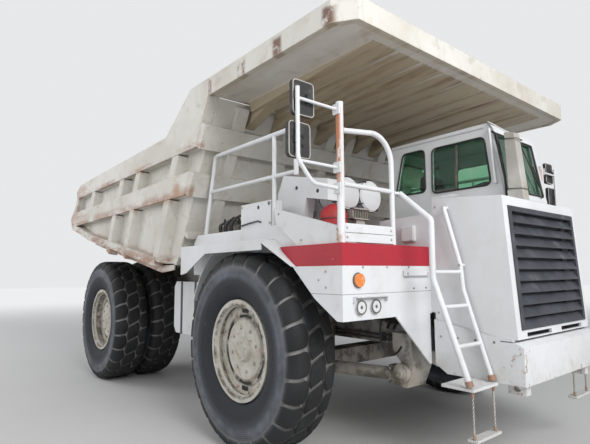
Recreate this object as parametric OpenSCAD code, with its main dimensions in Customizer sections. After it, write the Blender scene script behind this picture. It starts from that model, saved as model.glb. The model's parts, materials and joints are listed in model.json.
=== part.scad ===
/* [Chassis] */
// Distance from the front axle to the rear axle
wheelbase = 4090; // [3900:10:4300]
// Forward distance from the middle of the truck to its front axle
front_axle_x = 1755; // [1600:5:1900]
// Half distance from the middle plane to the middle of a frame rail
rail_y = 500; // [470:5:520]
// Width of a frame rail
rail_w = 160; // [120:5:180]
// Height of the body's hinge above the floor
hinge_z = 1950; // [1900:10:2000]
// Distance from the rear axle back to the body's hinge
hinge_back = 810; // [700:10:900]

/* [Wheels] */
// Outer radius of a tyre, out to its tread
tyre_r = 930; // [880:5:935]
// Width of a tyre
tyre_w = 500; // [440:5:510]
// Half track of the front tyres, to the middle of the tyre
front_tyre_y = 1700; // [1680:5:1720]
// Half track of the outer rear tyres
rear_outer_y = 1680; // [1660:5:1700]
// Half track of the inner rear tyres
rear_inner_y = 1120; // [1115:5:1140]
// Radius of a rim's flange
rim_r = 475; // [455:5:490]
// Half distance between the kingpins
kingpin_y = 1380; // [1340:5:1400]

/* [Hood and bumper] */
// Half width of the hood
hood_y = 725; // [680:5:730]
// Height of the hood's top above the floor
hood_top = 2320; // [2260:5:2340]
// Number of slats in the grille
slat_count = 10; // [8:1:12]
// Height of the bumper's top edge
bumper_top = 1080; // [1060:5:1090]

/* [Decks and cab] */
// Half width over the front fenders
deck_y = 1851; // [1820:1:1870]
// Height of the deck
deck_z = 1882; // [1870:1:1900]
// Height of the cab's roof
roof_z = 3130; // [3050:10:3160]
// Width of the cab
cab_w = 960; // [920:10:1000]
// Thickness of the cab's walls
cab_wall = 50; // [40:5:60]

/* [Body] */
// Half width over the body's side rails
body_y = 2000; // [1960:5:2020]
// Depth of the side ribs and rails
rib_depth = 115; // [90:5:130]
// Height of the canopy's lower edge
canopy_z = 3547; // [3520:1:3600]
// Height of the canopy's edge rail
canopy_rim = 191; // [150:1:210]

/* [Hidden] */
$fn = 64;

// Lengths along the truck are counted forward from the front axle. Heights are drawn with the axles
// at this height, and larger tyres lift the whole truck.
rear_x = -wheelbase;
axle_z = 930;
hinge_x = rear_x - hinge_back;
seat_gap = 0.3;
pin_gap = 0.5;
arc_steps = 5;
elbow_extra = 1;
elbow_lap = 4;

// Body: the floor's underside, its front part level and the rest rising to the tail
floor_low = 1760;
floor_bend_x = -1770;
floor_slope = 0.175;
floor_t = 90;
beam_h = 200;
tail_x = -4540;
wall_in = body_y - rib_depth - 20;
wall_out = body_y - rib_depth;
head_foot = [-1310, 1860];
head_top = [-440, canopy_z];
head_angle = atan((head_top[0] - head_foot[0]) / (head_top[1] - head_foot[1]));
canopy_front = 1600;

// Steering linkage and hoist
tie_pin = [-380, -kingpin_y];
steer_pin = [-60, -1090, 715];
steer_eye = [1000, -780, 715];
hoist_y = 720;
hoist_foot = [-2000, 800];
hoist_head = [-3000, 1860];

white = "#e3ddcf";
dusty = "#c9bfa6";
slate = "#3c4148";
rubber = "#2a2c2f";
red = "#b3202b";
steel = "#8f8f8a";
glass = "#9fc3ae";

function floor_under(x) = x > floor_bend_x ? floor_low : floor_low + floor_slope * (floor_bend_x - x);
function head_x(z) = head_foot[0] + (z - head_foot[1]) * tan(head_angle);
function unit(v) = v / norm(v);

// Everything is drawn about the front axle and then put in its place
module placed() translate([front_axle_x, 0, tyre_r - axle_z]) children();

// The points of an arc that rounds the corner b between its neighbours a and c
function arc(a, b, c, r) =
    let (u = unit(a - b), v = unit(c - b), half = acos(u * v) / 2, middle = b + unit(u + v) * r / sin(half),
        first = b + u * r / tan(half) - middle, last = b + v * r / tan(half) - middle,
        start = atan2(first[1], first[0]), turn = (atan2(last[1], last[0]) - start + 540) % 360 - 180)
    [for (i = [0 : arc_steps]) middle + r * [cos(start + turn * i / arc_steps), sin(start + turn * i / arc_steps)]];
function rounded(p, r) = [for (i = [0 : len(p) - 1])
    each arc(p[(i + len(p) - 1) % len(p)], p[i], p[(i + 1) % len(p)], r)];
// The same outline drawn in by a distance all round
function drawn_in(p, d) = [for (i = [0 : len(p) - 1])
    let (u = unit(p[(i + len(p) - 1) % len(p)] - p[i]), v = unit(p[(i + 1) % len(p)] - p[i]))
    p[i] + unit(u + v) * d / sin(acos(u * v) / 2)];

// A thing drawn on the right side of the truck, or the same mirrored to the left
module on_side(left) mirror([0, left ? 1 : 0, 0]) children();
module both_sides() {
    children();
    mirror([0, 1, 0]) children();
}

// A plate or block with an outline in length and height, from y0 to y1
module side_plate(outline, y0, y1)
    translate([0, max(y0, y1), 0]) rotate([90, 0, 0]) linear_extrude(abs(y1 - y0)) polygon(outline);

// A plate with an outline in length and width, from z0 to z1
module floor_plate(outline, z0, z1) translate([0, 0, z0]) linear_extrude(z1 - z0) polygon(outline);

module block(low, high) translate(low) cube(high - low);

// A cylinder along the width of the truck
module cross_pin(x, z, y0, y1, r)
    translate([x, max(y0, y1), z]) rotate([90, 0, 0]) cylinder(r = r, h = abs(y1 - y0));

// A round bar from one point to another
module bar(a, b, r) {
    v = b - a;
    translate(a) rotate([0, acos(v[2] / norm(v)), atan2(v[1], v[0])]) cylinder(r = r, h = norm(v));
}

// A part of a torus that joins two straight stretches of a bent tube, a little thicker than both
module elbow(a, b, c, bend, r) {
    u = unit(a - b);
    v = unit(c - b);
    half = acos(u * v) / 2;
    middle = b + unit(u + v) * bend / sin(half);
    first = unit(b + u * bend / tan(half) - middle);
    third = unit(cross(v, u));
    second = cross(third, first);
    multmatrix([
        [first[0], second[0], third[0], middle[0]],
        [first[1], second[1], third[1], middle[1]],
        [first[2], second[2], third[2], middle[2]],
        [0, 0, 0, 1]
    ]) rotate_extrude(angle = 180 - 2 * half) translate([bend, 0]) circle(r = r + elbow_extra, $fn = 32);
}

// A tube through a list of points, with a round bend of one radius at each inner point
module bent_tube(points, bend, r) {
    last = len(points) - 1;
    cut = [for (i = [0 : last])
        (i == 0 || i == last) ? 0
        : bend / tan(acos(unit(points[i - 1] - points[i]) * unit(points[i + 1] - points[i])) / 2) - elbow_lap];
    for (i = [0 : last - 1]) {
        way = unit(points[i + 1] - points[i]);
        bar(points[i] + way * cut[i], points[i + 1] - way * cut[i + 1], r);
    }
    for (i = [1 : 1 : last - 1]) elbow(points[i - 1], points[i], points[i + 1], bend, r);
}

// Frame: two box rails that rise over the rear axle, with the hinge's pins and the brackets
rail_front = [1980, 1070];
rail_bend = [floor_bend_x + 330, 1300];
rail_in = rail_y - rail_w / 2;
rail_out = rail_y + rail_w / 2;
function rail_top(x) = rail_front[1] + (rail_front[0] - x) * (rail_bend[1] - rail_front[1]) / (rail_front[0] - rail_bend[0]);
module rail_outline() {
    top_drop = beam_h + seat_gap;
    rear_top = hinge_x + 130;
    polygon([
        [rail_front[0], 800], [1300, 800], [900, 950], [-2700, 950], [-3350, 1380], [-4650, 1560],
        [hinge_x - 60, hinge_z - 110], [hinge_x - 110, hinge_z],
        [rear_top, floor_under(rear_top) - top_drop - 30],
        [floor_bend_x, floor_under(floor_bend_x) - top_drop], rail_bend, rail_front
    ]);
}
module frame() {
    color(white) placed() both_sides() {
        translate([0, -rail_in, 0]) rotate([90, 0, 0]) linear_extrude(rail_w) rail_outline();
        cross_pin(hinge_x, hinge_z, -rail_out, -rail_in, 110);
        cross_pin(hinge_x, hinge_z, -rail_out, -rail_out - 105, 60);
        hoist_foot_bracket();
        steering_bracket();
        tank_arms();
    }
}
// Cross members between the rails: forward place, lower and upper height, length
module cross_members() {
    members = [
        [1700, 830, 1060, 160], [-900, 960, 1030, 200], [-2250, 1110, 1300, 220], [-3300, 1420, 1640, 180],
        [-4640, 1600, 1900, 200]
    ];
    color(white) placed() for (m = members)
        block([m[0] - m[3] / 2, -rail_in + seat_gap, m[1]], [m[0] + m[3] / 2, rail_in - seat_gap, m[2]]);
}
// Portals that stand on the rails under the decks and the cab: rear face, half width
module deck_portals() {
    portals = [[-990, 975], [420, 975], [1285, 690]];
    beam_low = 1790;
    color(white) placed() for (p = portals) {
        block([p[0], -p[1], beam_low], [p[0] + 100, p[1], deck_z - deck_t - seat_gap]);
        both_sides() side_plate([
            [p[0], rail_top(p[0]) + seat_gap], [p[0] + 100, rail_top(p[0] + 100) + seat_gap],
            [p[0] + 100, beam_low + 10], [p[0], beam_low + 10]
        ], -rail_out, -rail_in);
    }
}

// The hoist cylinder swings on a pin that stands out from the rail
module hoist_foot_bracket() {
    inner = -rail_out;
    block([hoist_foot[0] - 110, inner - 30, 700], [hoist_foot[0] + 110, inner + 20, 960]);
    cross_pin(hoist_foot[0], hoist_foot[1], inner, -hoist_y - 75, 50);
}

// The steering cylinder's front eye sits in a fork below a casting on the rail
module steering_bracket() {
    inner = -rail_out + 20;
    side = steer_eye[1];
    for (z = [steer_eye[2] - 85, steer_eye[2] + 60])
        block([steer_eye[0] - 55, side - 55, z], [steer_eye[0] + 150, side + 45, z + 25]);
    translate([steer_eye[0], side, steer_eye[2] - 85]) cylinder(r = 30, h = 170);
    side_plate([
        [steer_eye[0] + 90, 620], [steer_eye[0] + 150, 620], [steer_eye[0] + 225, 800],
        [steer_eye[0] + 200, 1100], [steer_eye[0], 1100], [steer_eye[0], 940], [steer_eye[0] + 90, 840]
    ], side - 55, inner);
}

// Two arms that carry the tank beside the rail
module tank_arms() {
    for (x = [-1800, -1400])
        block([x - 40, -tank_in, 1080], [x + 40, -rail_out + 20, 1180]);
}

module engine() {
    color(steel) placed() {
        block([150, -380, 1010], [1380, 380, 1780]);
        block([-700, -260, 960], [150, 260, 1380]);
    }
}
module radiator() {
    color(slate) placed() block([1900, -600, 1076], [1980, 600, 2200]);
}
module drive_shaft() {
    color(steel) placed() bar([-704, 0, 1120], [rear_x + 334, 0, axle_z + 20], 60);
}

// Front bumper: a channel across the front, side plates back to the fender legs, tow eyes below
module bumper() {
    front = 2170;
    low = 790;
    color(white) placed() difference() {
        union() {
            side_plate([
                [front, low], [front, bumper_top], [2110, hood_low - 20], [1990, hood_low - 20], [1990, low]
            ], -750, 750);
            both_sides() {
                side_plate([
                    [1990, low], [1990, hood_low - seat_gap], [hood_back, 1240], [hood_back, 860], [1510, low]
                ], -750, -735);
                block([hood_back, -750, hood_low - 13], [2090, -690, hood_low - seat_gap]);
                block([1980, -640, 700], [2120, -560, low + 10]);
                block([1430, -736, 900], [1470, -rail_out - seat_gap, hood_low - 10]);
            }
        }
        both_sides() cross_pin(2050, 750, -680, -520, 28);
    }
}

// Hood: a shell of plate, open at the front for the grille and open below
hood_back = 1400;
hood_low = 1130;
module hood() {
    outer = [[hood_back, hood_low], [2120, hood_low], [2050, hood_top - 50], [hood_back, hood_top]];
    inner = [[hood_back - 1, hood_low - 1], [2095, hood_low - 1], [2026, hood_top - 73], [hood_back - 1, hood_top - 22]];
    color(white) placed() difference() {
        side_plate(outer, -hood_y, hood_y);
        side_plate(inner, -hood_y + 20, hood_y - 20);
        block([1950, -grille_y, grille_low], [2200, grille_y, grille_high]);
        for (s = [-1, 1]) block([2050, s * 330 - 230, 1140], [2200, s * 330 + 230, 1175]);
    }
}
grille_y = 650;
grille_low = 1200;
grille_high = 2190;
function front_face(z) = 2120 - 70 * (z - 1130) / (hood_top - 50 - 1130);
module grille() {
    pitch = (grille_high - grille_low - 40) / slat_count;
    color(slate) placed() {
        both_sides() side_plate([
            [front_face(grille_low) + 12, grille_low], [front_face(grille_high) + 12, grille_high],
            [front_face(grille_high) - 45, grille_high], [front_face(grille_low) - 45, grille_low]
        ], -grille_y, -grille_y + 45);
        for (i = [0 : slat_count - 1]) {
            z = grille_low + pitch * i;
            x = front_face(z);
            side_plate([
                [x + 10, z], [x + 12, z + 12], [x - 38, z + pitch * 0.82], [x - 46, z + pitch * 0.82]
            ], -grille_y + 40, grille_y - 40);
        }
        side_plate([
            [front_face(grille_high) + 14, grille_high - 42], [front_face(grille_high) + 12, grille_high],
            [front_face(grille_high) - 45, grille_high], [front_face(grille_high) - 45, grille_high - 42]
        ], -grille_y + 40, grille_y - 40);
    }
}

// Cover beside the engine, between the hood and the right deck
module engine_cover() {
    color(white) placed() difference() {
        side_plate([
            [790, 1300], [hood_back - seat_gap, 1300], [hood_back - seat_gap, 2185], [790, 2165]
        ], -hood_y, -20);
        side_plate([[700, 1290], [hood_back + 5, 1290], [hood_back + 5, 2165], [700, 2145]], -hood_y + 20, -10);
    }
}

// Deck on one side: front box with lamps, raised arch over the wheel, its lip and its liner
deck_in = hood_y + seat_gap;
deck_t = 12;
arch_in = 985;
arch_low = axle_z + tyre_r + 100;
arch_top = arch_low + 130;
arch_flat = 500;
lip_y = tyre_w / 2 + front_tyre_y + 3;
front_box = [
    [1361, 1290], [1361, deck_z], [603, deck_z], [776, 1708], [1050, 1450], [1300, 1290]
];
front_box_in = [
    [1349, 1278], [1349, deck_z - 12], [640, deck_z - 12], [788, 1712], [1058, 1458], [1306, 1278]
];
module deck() {
    difference() {
        side_plate(front_box, -deck_y, -deck_in);
        side_plate(front_box_in, -deck_y + 12, -deck_in - 12);
    }
    // Raised arch
    difference() {
        side_plate([
            [-1080, 1640], [-1080, arch_top - 90], [-1000, arch_top], [arch_flat, arch_top], [800, deck_z],
            [776, 1740], [740, 1780], [450, arch_low], [-511, arch_low], [-700, 1842], [-894, 1654], [-910, 1640]
        ], -1800, -arch_in);
        side_plate([
            [-1068, 1600], [-1068, arch_top - 95], [-995, arch_top - 12], [arch_flat - 5, arch_top - 12],
            [748, arch_top - 185], [748, 1790], [450, arch_low + 12], [-515, arch_low + 12], [-708, 1852],
            [-906, 1660], [-940, 1600]
        ], -1788, -arch_in - 12);
    }
    // Flat walkway inside the arch, and the arch's inner wall down to it
    block([-1080, -arch_in, deck_z - deck_t], [650, -deck_in, deck_z]);
    block([-1080, -arch_in - 12, deck_z - deck_t], [700, -arch_in, arch_low + 12]);
    // Lip over the tyre, its front end drawn in along the slanted edge of the front box
    side_plate([
        [-1080, 1640], [-1080, arch_low - 5], [470, arch_low - 5], [470, arch_low - 100], [-530, arch_low - 100],
        [-950, 1660]
    ], -lip_y - 12, -lip_y);
    block([-1080, -lip_y, arch_low - 17], [450, -1800, arch_low - 5]);
    intersection() {
        side_plate([
            [440, arch_low - 5], [470, arch_low - 5], [840, 1695], [776, 1708], [440, arch_low - 17]
        ], -lip_y - 12, -1795);
        floor_plate([[440, -lip_y - 12], [470, -lip_y - 12], [830, -deck_y], [830, -1795], [440, -1795]], 1600, 2200);
    }
    // Apron behind the tyre
    translate([0, -1250, axle_z]) rotate([90, 0, 0]) apron_sheet();
    // Bracket below the front wall, down beside the bumper's side plate
    translate([1361, 0, 0]) rotate([90, 0, -90]) linear_extrude(14) polygon([
        [750 + seat_gap, 1295], [1235, 1295], [775, 857], [750 + seat_gap, 857]
    ]);
}
module apron_sheet() {
    rotate([0, 0, 140]) rotate_extrude(angle = 19) translate([tyre_r + 220, 0]) square([12, 550]);
}
module deck_right() { color(white) placed() on_side(false) deck(); }
module deck_left() { color(white) placed() on_side(true) deck(); }

// Cab: a shell with its windows cut, open at the left for the door
cab_y = 0;
cab_back = 380;
cab_floor = 1905;
cowl_z = 2345;
shield_low = [1727, 2392];
shield_high = [1610, roof_z - 40];
function shield_x(z) = shield_low[0] + (z - shield_low[1]) * (shield_high[0] - shield_low[0]) / (shield_high[1] - shield_low[1]);
cab_outer = [
    [cab_back, cab_floor], [1385, cab_floor], [1385, cowl_z], [1715, cowl_z], shield_low, shield_high,
    [1585, roof_z], [cab_back + 25, roof_z - 5], [cab_back, roof_z - 35]
];
cab_inner = [
    [cab_back + cab_wall, cab_floor + cab_wall], [1385 - cab_wall, cab_floor + cab_wall],
    [1385 - cab_wall, cowl_z + cab_wall], [shield_x(cowl_z + cab_wall) - cab_wall, cowl_z + cab_wall],
    [shield_x(roof_z - cab_wall) - cab_wall, roof_z - cab_wall], [cab_back + cab_wall, roof_z - cab_wall]
];
// Windows as outlines in length and height, with rounded corners
window_round = 60;
rear_light = [[445, 2535], [850, 2535], [850, 3010], [560, 3010]];
slide_light = [[935, 2505], [1600, 2505], [1548, 2995], [948, 2995]];
shield_edge = [2450, roof_z - 95];
back_light = [2500, 2960];
back_light_side = 150;
shield_side = 70;
door_low = 2020;
door_top = 3030;
door_back = 600;
door_front = 1330;
door_light = [[670, 2460], [1270, 2460], [1270, 2950], [670, 2950]];
door_pin = [1350, cab_y + cab_w + 18];
door_pin_r = 7;
door_hinges = [2150, 2800];
module door_plate(outline, depth) side_plate(outline, cab_y + cab_w - cab_wall - depth, cab_y + cab_w + depth);
module cab_shell() {
    color(white) placed() {
        // Mounts under the floor: forward place, width place, height of what carries them
        for (m = [[470, 120, deck_z - deck_t], [470, 600, deck_z - deck_t], [1330, 120, deck_z - deck_t],
            [1330, 600, deck_z - deck_t], [600, 860, deck_z], [1250, 860, deck_z]])
            translate([m[0], m[1], m[2]]) cylinder(r = 40, h = cab_floor - m[2]);
        for (z = door_hinges) {
            translate([door_pin[0], door_pin[1], z - 56]) cylinder(r = door_pin_r, h = 112);
            for (low = [z - 58, z + 43])
                block([door_pin[0] - 8, cab_y + cab_w, low], [door_pin[0] + 10, door_pin[1] + 8, low + 15]);
        }
        cab_panels();
    }
}
module cab_panels() {
    difference() {
        side_plate(cab_outer, cab_y, cab_y + cab_w);
        side_plate(cab_inner, cab_y + cab_wall, cab_y + cab_w - cab_wall);
        for (light = [rear_light, slide_light])
            side_plate(rounded(light, window_round), cab_y - 5, cab_y + cab_wall + 5);
        door_plate([[door_back, door_low], [door_front, door_low], [door_front, door_top], [door_back, door_top]], 5);
        block([1500, cab_y + shield_side, shield_edge[0]], [1800, cab_y + cab_w - shield_side, shield_edge[1]]);
        block([cab_back - 5, cab_y + back_light_side, back_light[0]],
            [cab_back + cab_wall + 5, cab_y + cab_w - back_light_side, back_light[1]]);
    }
}
module pane(outline, y)
    side_plate(rounded(drawn_in(outline, seat_gap), window_round - seat_gap), y, y + 8);
module cab_glass() {
    low = shield_edge[0] + seat_gap;
    high = shield_edge[1] - seat_gap;
    color(glass) placed() {
        for (light = [rear_light, slide_light]) pane(light, cab_y + 21);
        side_plate([
            [shield_x(low) - 28, low], [shield_x(low) - 20, low], [shield_x(high) - 20, high], [shield_x(high) - 28, high]
        ], cab_y + shield_side + seat_gap, cab_y + cab_w - shield_side - seat_gap);
        block([cab_back + 21, cab_y + back_light_side + seat_gap, back_light[0] + seat_gap],
            [cab_back + 29, cab_y + cab_w - back_light_side - seat_gap, back_light[1] - seat_gap]);
    }
}
door_gap = 6;
module cab_door() {
    y = cab_y + cab_w;
    leaf = drawn_in([
        [door_back, door_low], [door_front, door_low], [door_front, door_top], [door_back, door_top]
    ], door_gap);
    color(white) placed() difference() {
        union() {
            side_plate(leaf, y - cab_wall, y);
            for (z = door_hinges) {
                block([1290, y, z - 40], [door_pin[0], y + 12, z + 40]);
                translate([door_pin[0], door_pin[1], z - 40]) cylinder(r = 2 * door_pin_r, h = 80);
            }
            for (z = [2280, 2400]) block([630, y, z], [650, y + 40, z + 20]);
            translate([640, y + 40, 2270]) cylinder(r = 9, h = 160);
        }
        door_plate(rounded(door_light, window_round), 5);
        for (z = door_hinges)
            translate([door_pin[0], door_pin[1], z - 50]) cylinder(r = door_pin_r + pin_gap, h = 100);
    }
}
module door_glass() { color(glass) placed() pane(door_light, cab_y + cab_w - 29); }
module cab_seat() {
    middle = cab_y + cab_w / 2;
    color(slate) placed() {
        block([700, middle - 120, cab_floor + cab_wall], [920, middle + 120, 2140]);
        block([600, middle - 240, 2140], [1090, middle + 240, 2250]);
        side_plate([[600, 2250], [700, 2250], [640, 2800], [555, 2800]], middle - 220, middle + 220);
    }
}
module cab_controls() {
    middle = cab_y + cab_w / 2;
    color(slate) placed() {
        side_plate([
            [1380 - cab_wall, cab_floor + cab_wall], [1380 - cab_wall, cowl_z + cab_wall],
            [1500, cowl_z + cab_wall], [1450, 2490], [1250, 2440], [1230, 2300], [1280, cab_floor + cab_wall]
        ], cab_y + cab_wall + 20, cab_y + cab_w - cab_wall - 20);
        bar([1290, middle, 2330], [1180, middle, 2500], 25);
        translate([1175, middle, 2508]) rotate([0, -33, 0]) {
            rotate_extrude() translate([200, 0]) circle(r = 15);
            for (a = [0, 120, 240]) rotate([0, 0, a]) translate([0, -12, -5]) cube([195, 24, 10]);
            cylinder(r = 35, h = 20, center = true);
        }
    }
}

// Handrails of one side: the front loop, the side rail and the kick boards
tube_r = 22;
rail_side = 1820;
post_x = 1330;
module handrail() {
    loop_in = -1200;
    bar([post_x, -rail_side, deck_z], [post_x, -rail_side, 2990], 30);
    bent_tube([[post_x, -rail_side, 2765], [post_x, loop_in, 2840], [post_x, loop_in, deck_z]], 230, tube_r);
    bar([post_x, -rail_side, 2340], [post_x, loop_in, 2340], tube_r - 2);
    for (z = [1891, 1965]) block([post_x + 5, -rail_side, z], [post_x + 17, loop_in, z + 70]);
    side_y = -1780;
    bent_tube([
        [750, side_y, 2510], [750, side_y, 2945], [-650, side_y, 2950], [-840, side_y, arch_top + 6]
    ], 60, tube_r);
    bar([750, side_y, 2545], [-745, side_y, 2560], tube_r - 3);
    bar([430, side_y, arch_top], [430, side_y, 2945], tube_r - 2);
    side_plate([
        [arch_flat + 10, arch_top + 5], [480, 2240], [1320, 2010], [1320, deck_z], [810, deck_z]
    ], -1824, -1790);
}
module handrails() { color(white) placed() both_sides() handrail(); }

// Ladder of one side, its step plate and the step that hangs on two ropes
ladder_out = -1110;
ladder_in = -775;
outer_rail = [[1345, 2333], [1648, 2079], [1645, 1606], [1930, 805]];
inner_rail = [[1553, 2214], [1690, 1711], [1706, 1507], [1925, 805]];
function at(p, y) = [p[0], y, p[1]];
function on_stretch(a, b, z) = a[0] + (b[0] - a[0]) * (z - a[1]) / (b[1] - a[1]);
module ladder() {
    bent_tube([for (p = outer_rail) at(p, ladder_out)], 60, 24);
    bent_tube([for (p = inner_rail) at(p, ladder_in)], 60, 20);
    for (z = [1381, 1087]) bar([on_stretch(outer_rail[2], outer_rail[3], z), ladder_out, z],
        [on_stretch(inner_rail[2], inner_rail[3], z), ladder_in, z], 16);
    bar([1646, ladder_out, 1655], [on_stretch(inner_rail[1], inner_rail[2], 1655), ladder_in, 1655], 16);
    // Step plate, and the step that hangs below it
    block([1690, ladder_out - 10, 775], [1960, ladder_in + 18, 797]);
    for (y = [ladder_out + 15, ladder_in - 15]) bar([1935, y, 430], [1935, y, 780], 7);
    block([1885, ladder_out + 5, 415], [1965, ladder_in + 25, 435]);
    for (p = [inner_rail[0], inner_rail[1]]) cross_pin(p[0], p[1], ladder_in - 15, -hood_y, 14);
    bar([outer_rail[0][0], ladder_out, outer_rail[0][1]], [post_x + 5, -1200 + tube_r, outer_rail[0][1]], 14);
}
module ladders() { color(white) placed() both_sides() ladder(); }

// Mirror arms of one side: a bent pipe and two bars, clamped to the corner post
arm_y = -2250;
arm_r = 16;
module mirror_arm() {
    side = -rail_side - 30 - seat_gap;
    bent_tube([
        [post_x, side - 5, 2300], [post_x, -2110, 2310], [post_x, arm_y, 2470], [post_x, arm_y, 3010]
    ], 110, arm_r);
    for (z = [2462, 2925]) bar([post_x, side - 5, z], [post_x, arm_y + 5, z], 12);
    for (z = [2300, 2462, 2925]) block([post_x - 35, side - 12, z - 42], [post_x + 35, side, z + 42]);
}
module mirror_arms() { color(white) placed() both_sides() mirror_arm(); }

// Two mirror heads behind the pipe: middle across, lower edge
mirror_w = 212;
mirror_h = 272;
module mirror_set() {
    for (m = [[-2205, 2488], [-2165, 2812]]) {
        translate([post_x - 68, 0, 0]) rotate([90, 0, 90]) linear_extrude(36) polygon(rounded([
            [m[0] - mirror_w / 2, m[1]], [m[0] + mirror_w / 2, m[1]], [m[0] + mirror_w / 2, m[1] + mirror_h],
            [m[0] - mirror_w / 2, m[1] + mirror_h]
        ], 35));
        block([post_x - 33, arm_y - 18, m[1] + 110], [post_x - arm_r - seat_gap, arm_y + 18, m[1] + 165]);
    }
}
module mirrors() { color(rubber) placed() both_sides() mirror_set(); }

module air_cleaners() {
    color(white) placed() for (y = [-1195, -880]) {
        translate([250, y, 2400]) rotate([0, 90, 0]) cylinder(r = 150, h = 560);
        block([350, y - 60, y < -arch_in ? arch_top : deck_z], [440, y + 60, 2300]);
    }
}
module red_canister() {
    middle = [800, -1380];
    color(red) placed() {
        translate([middle[0], middle[1], 2001]) cylinder(r = 130, h = 150);
        translate([middle[0], middle[1], 2151]) sphere(r = 130);
        block([middle[0] + 5, middle[1] - 60, deck_z], [middle[0] + 100, middle[1] + 60, 2010]);
    }
}
module deck_boxes() {
    color(white) placed() {
        side_plate([
            [120, arch_top], [490, arch_top], [560, 2360], [850, 2305], [850, 2500], [215, 2625], [120, 2440]
        ], -1500, -1380);
        block([-110, -1790, arch_top], [395, -1660, 2335]);
    }
}
function hood_top_at(x) = hood_top - 50 * (x - hood_back) / (2050 - hood_back);
module intake_stack() {
    color(dusty) placed() side_plate([
        [1818, hood_top_at(1818) + seat_gap], [1950, hood_top_at(1950) + seat_gap], [1888, 2945], [1800, 2962]
    ], -100, 20);
}

tank_in = 860;
module tank_outline() {
    polygon([
        [-2200, 950], [-2140, 870], [-1260, 870], [-1200, 950], [-1200, 1480], [-1260, 1550],
        [-2140, 1550], [-2200, 1480]
    ]);
}
module fuel_tank() {
    color(white) placed() translate([0, -tank_in, 0]) rotate([90, 0, 0]) linear_extrude(640) tank_outline();
}
module hydraulic_tank() {
    color(white) placed() mirror([0, 1, 0])
        translate([0, -tank_in, 0]) rotate([90, 0, 0]) linear_extrude(640) tank_outline();
}

// Front axle: a dropped beam with an upright eye at each end, the kingpins fixed in the eyes
eye_h = 200;
module front_axle() {
    color(steel) placed() {
        block([-110, -800, 640], [110, 800, 820]);
        both_sides() {
            translate([0, -kingpin_y, axle_z - eye_h / 2]) cylinder(r = 85, h = eye_h);
            translate([0, -kingpin_y, axle_z - 175]) cylinder(r = 40, h = 350);
            translate([-90, 0, 0]) rotate([90, 0, 90]) linear_extrude(180) polygon([
                [-790, 640], [-790, 820], [-950, 990], [-kingpin_y + 60, axle_z + 70],
                [-kingpin_y + 60, axle_z - 60], [-1010, axle_z - 85], [-880, 640]
            ]);
        }
    }
}
module front_struts() {
    color(steel) placed() both_sides() {
        translate([0, -700, 820 + seat_gap]) cylinder(r = 70, h = 300);
        translate([0, -700, 1080]) cylinder(r = 95, h = 560);
        block([-110, -700, 1100], [110, -rail_out, 1190]);
    }
}

// Knuckle: a fork on the kingpin, the wheel's spindle and the arm for cylinder and tie rod
spindle_r = 90;
arm_low = axle_z - 165;
module knuckle() {
    difference() {
        union() {
            for (z = [axle_z - 165, axle_z + eye_h / 2 + 10])
                translate([-90, -kingpin_y - 170, z]) cube([180, 250, 55]);
            block([-110, -kingpin_y - 210, axle_z - 165], [110, -kingpin_y - 130, axle_z + 165]);
            cross_pin(0, axle_z, -kingpin_y - 200, -front_tyre_y - 60, spindle_r);
            // Inward arm for the steering cylinder, with the boss that faces the rod's eye
            floor_plate([
                [-50, -kingpin_y + 70], [steer_pin[0] - 50, steer_pin[1] + 40], [steer_pin[0] + 50, steer_pin[1] + 40],
                [steer_pin[0] + 60, steer_pin[1] - 30], [70, -kingpin_y + 60]
            ], arm_low, arm_low + 40);
            translate([steer_pin[0], steer_pin[1], arm_low - 9]) cylinder(r = 30, h = 20);
            // Rearward arm for the tie rod
            floor_plate([
                [-70, -kingpin_y - 50], [tie_pin[0] - 50, tie_pin[1] - 35], [tie_pin[0] - 50, tie_pin[1] + 45],
                [-70, -kingpin_y + 80]
            ], arm_low, arm_low + 40);
        }
        translate([0, -kingpin_y, axle_z - 180]) cylinder(r = 40 + pin_gap, h = 360);
        translate([tie_pin[0], tie_pin[1], arm_low - 20]) cylinder(r = 22 + pin_gap, h = 80);
    }
}
module knuckle_right() { color(steel) placed() on_side(false) knuckle(); }
module knuckle_left() { color(steel) placed() on_side(true) knuckle(); }

// Tie rod behind the axle, its two pins standing up into the knuckles' rear arms
module tie_rod() {
    z = arm_low - 50;
    color(steel) placed() {
        bar([tie_pin[0], tie_pin[1], z], [tie_pin[0], -tie_pin[1], z], 28);
        both_sides() {
            translate([tie_pin[0], tie_pin[1], z - 35]) cylinder(r = 42, h = 75);
            translate([tie_pin[0], tie_pin[1], z]) cylinder(r = 22, h = 95);
        }
    }
}

// Steering cylinder: a barrel on the frame's fork, a rod to the knuckle's front arm
steer_way = unit(steer_pin - steer_eye);
steer_len = norm(steer_pin - steer_eye);
module steering_barrel() {
    difference() {
        union() {
            translate([steer_eye[0], steer_eye[1], steer_eye[2] - 55]) cylinder(r = 58, h = 110);
            bar(steer_eye + steer_way * 50, steer_eye + steer_way * 110, 35);
            bar(steer_eye + steer_way * 100, steer_eye + steer_way * 680, 60);
        }
        translate([steer_eye[0], steer_eye[1], steer_eye[2] - 60]) cylinder(r = 30 + pin_gap, h = 120);
        bar(steer_eye + steer_way * 180, steer_eye + steer_way * 700, 30 + pin_gap);
    }
}
module steering_rod() {
    bar(steer_eye + steer_way * 360, steer_pin, 30);
    translate(steer_pin - [0, 0, 35]) cylinder(r = 45, h = 70);
}
module steering_barrel_right() { color(steel) placed() on_side(false) steering_barrel(); }
module steering_barrel_left() { color(steel) placed() on_side(true) steering_barrel(); }
module steering_rod_right() { color(steel) placed() on_side(false) steering_rod(); }
module steering_rod_left() { color(steel) placed() on_side(true) steering_rod(); }

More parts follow.
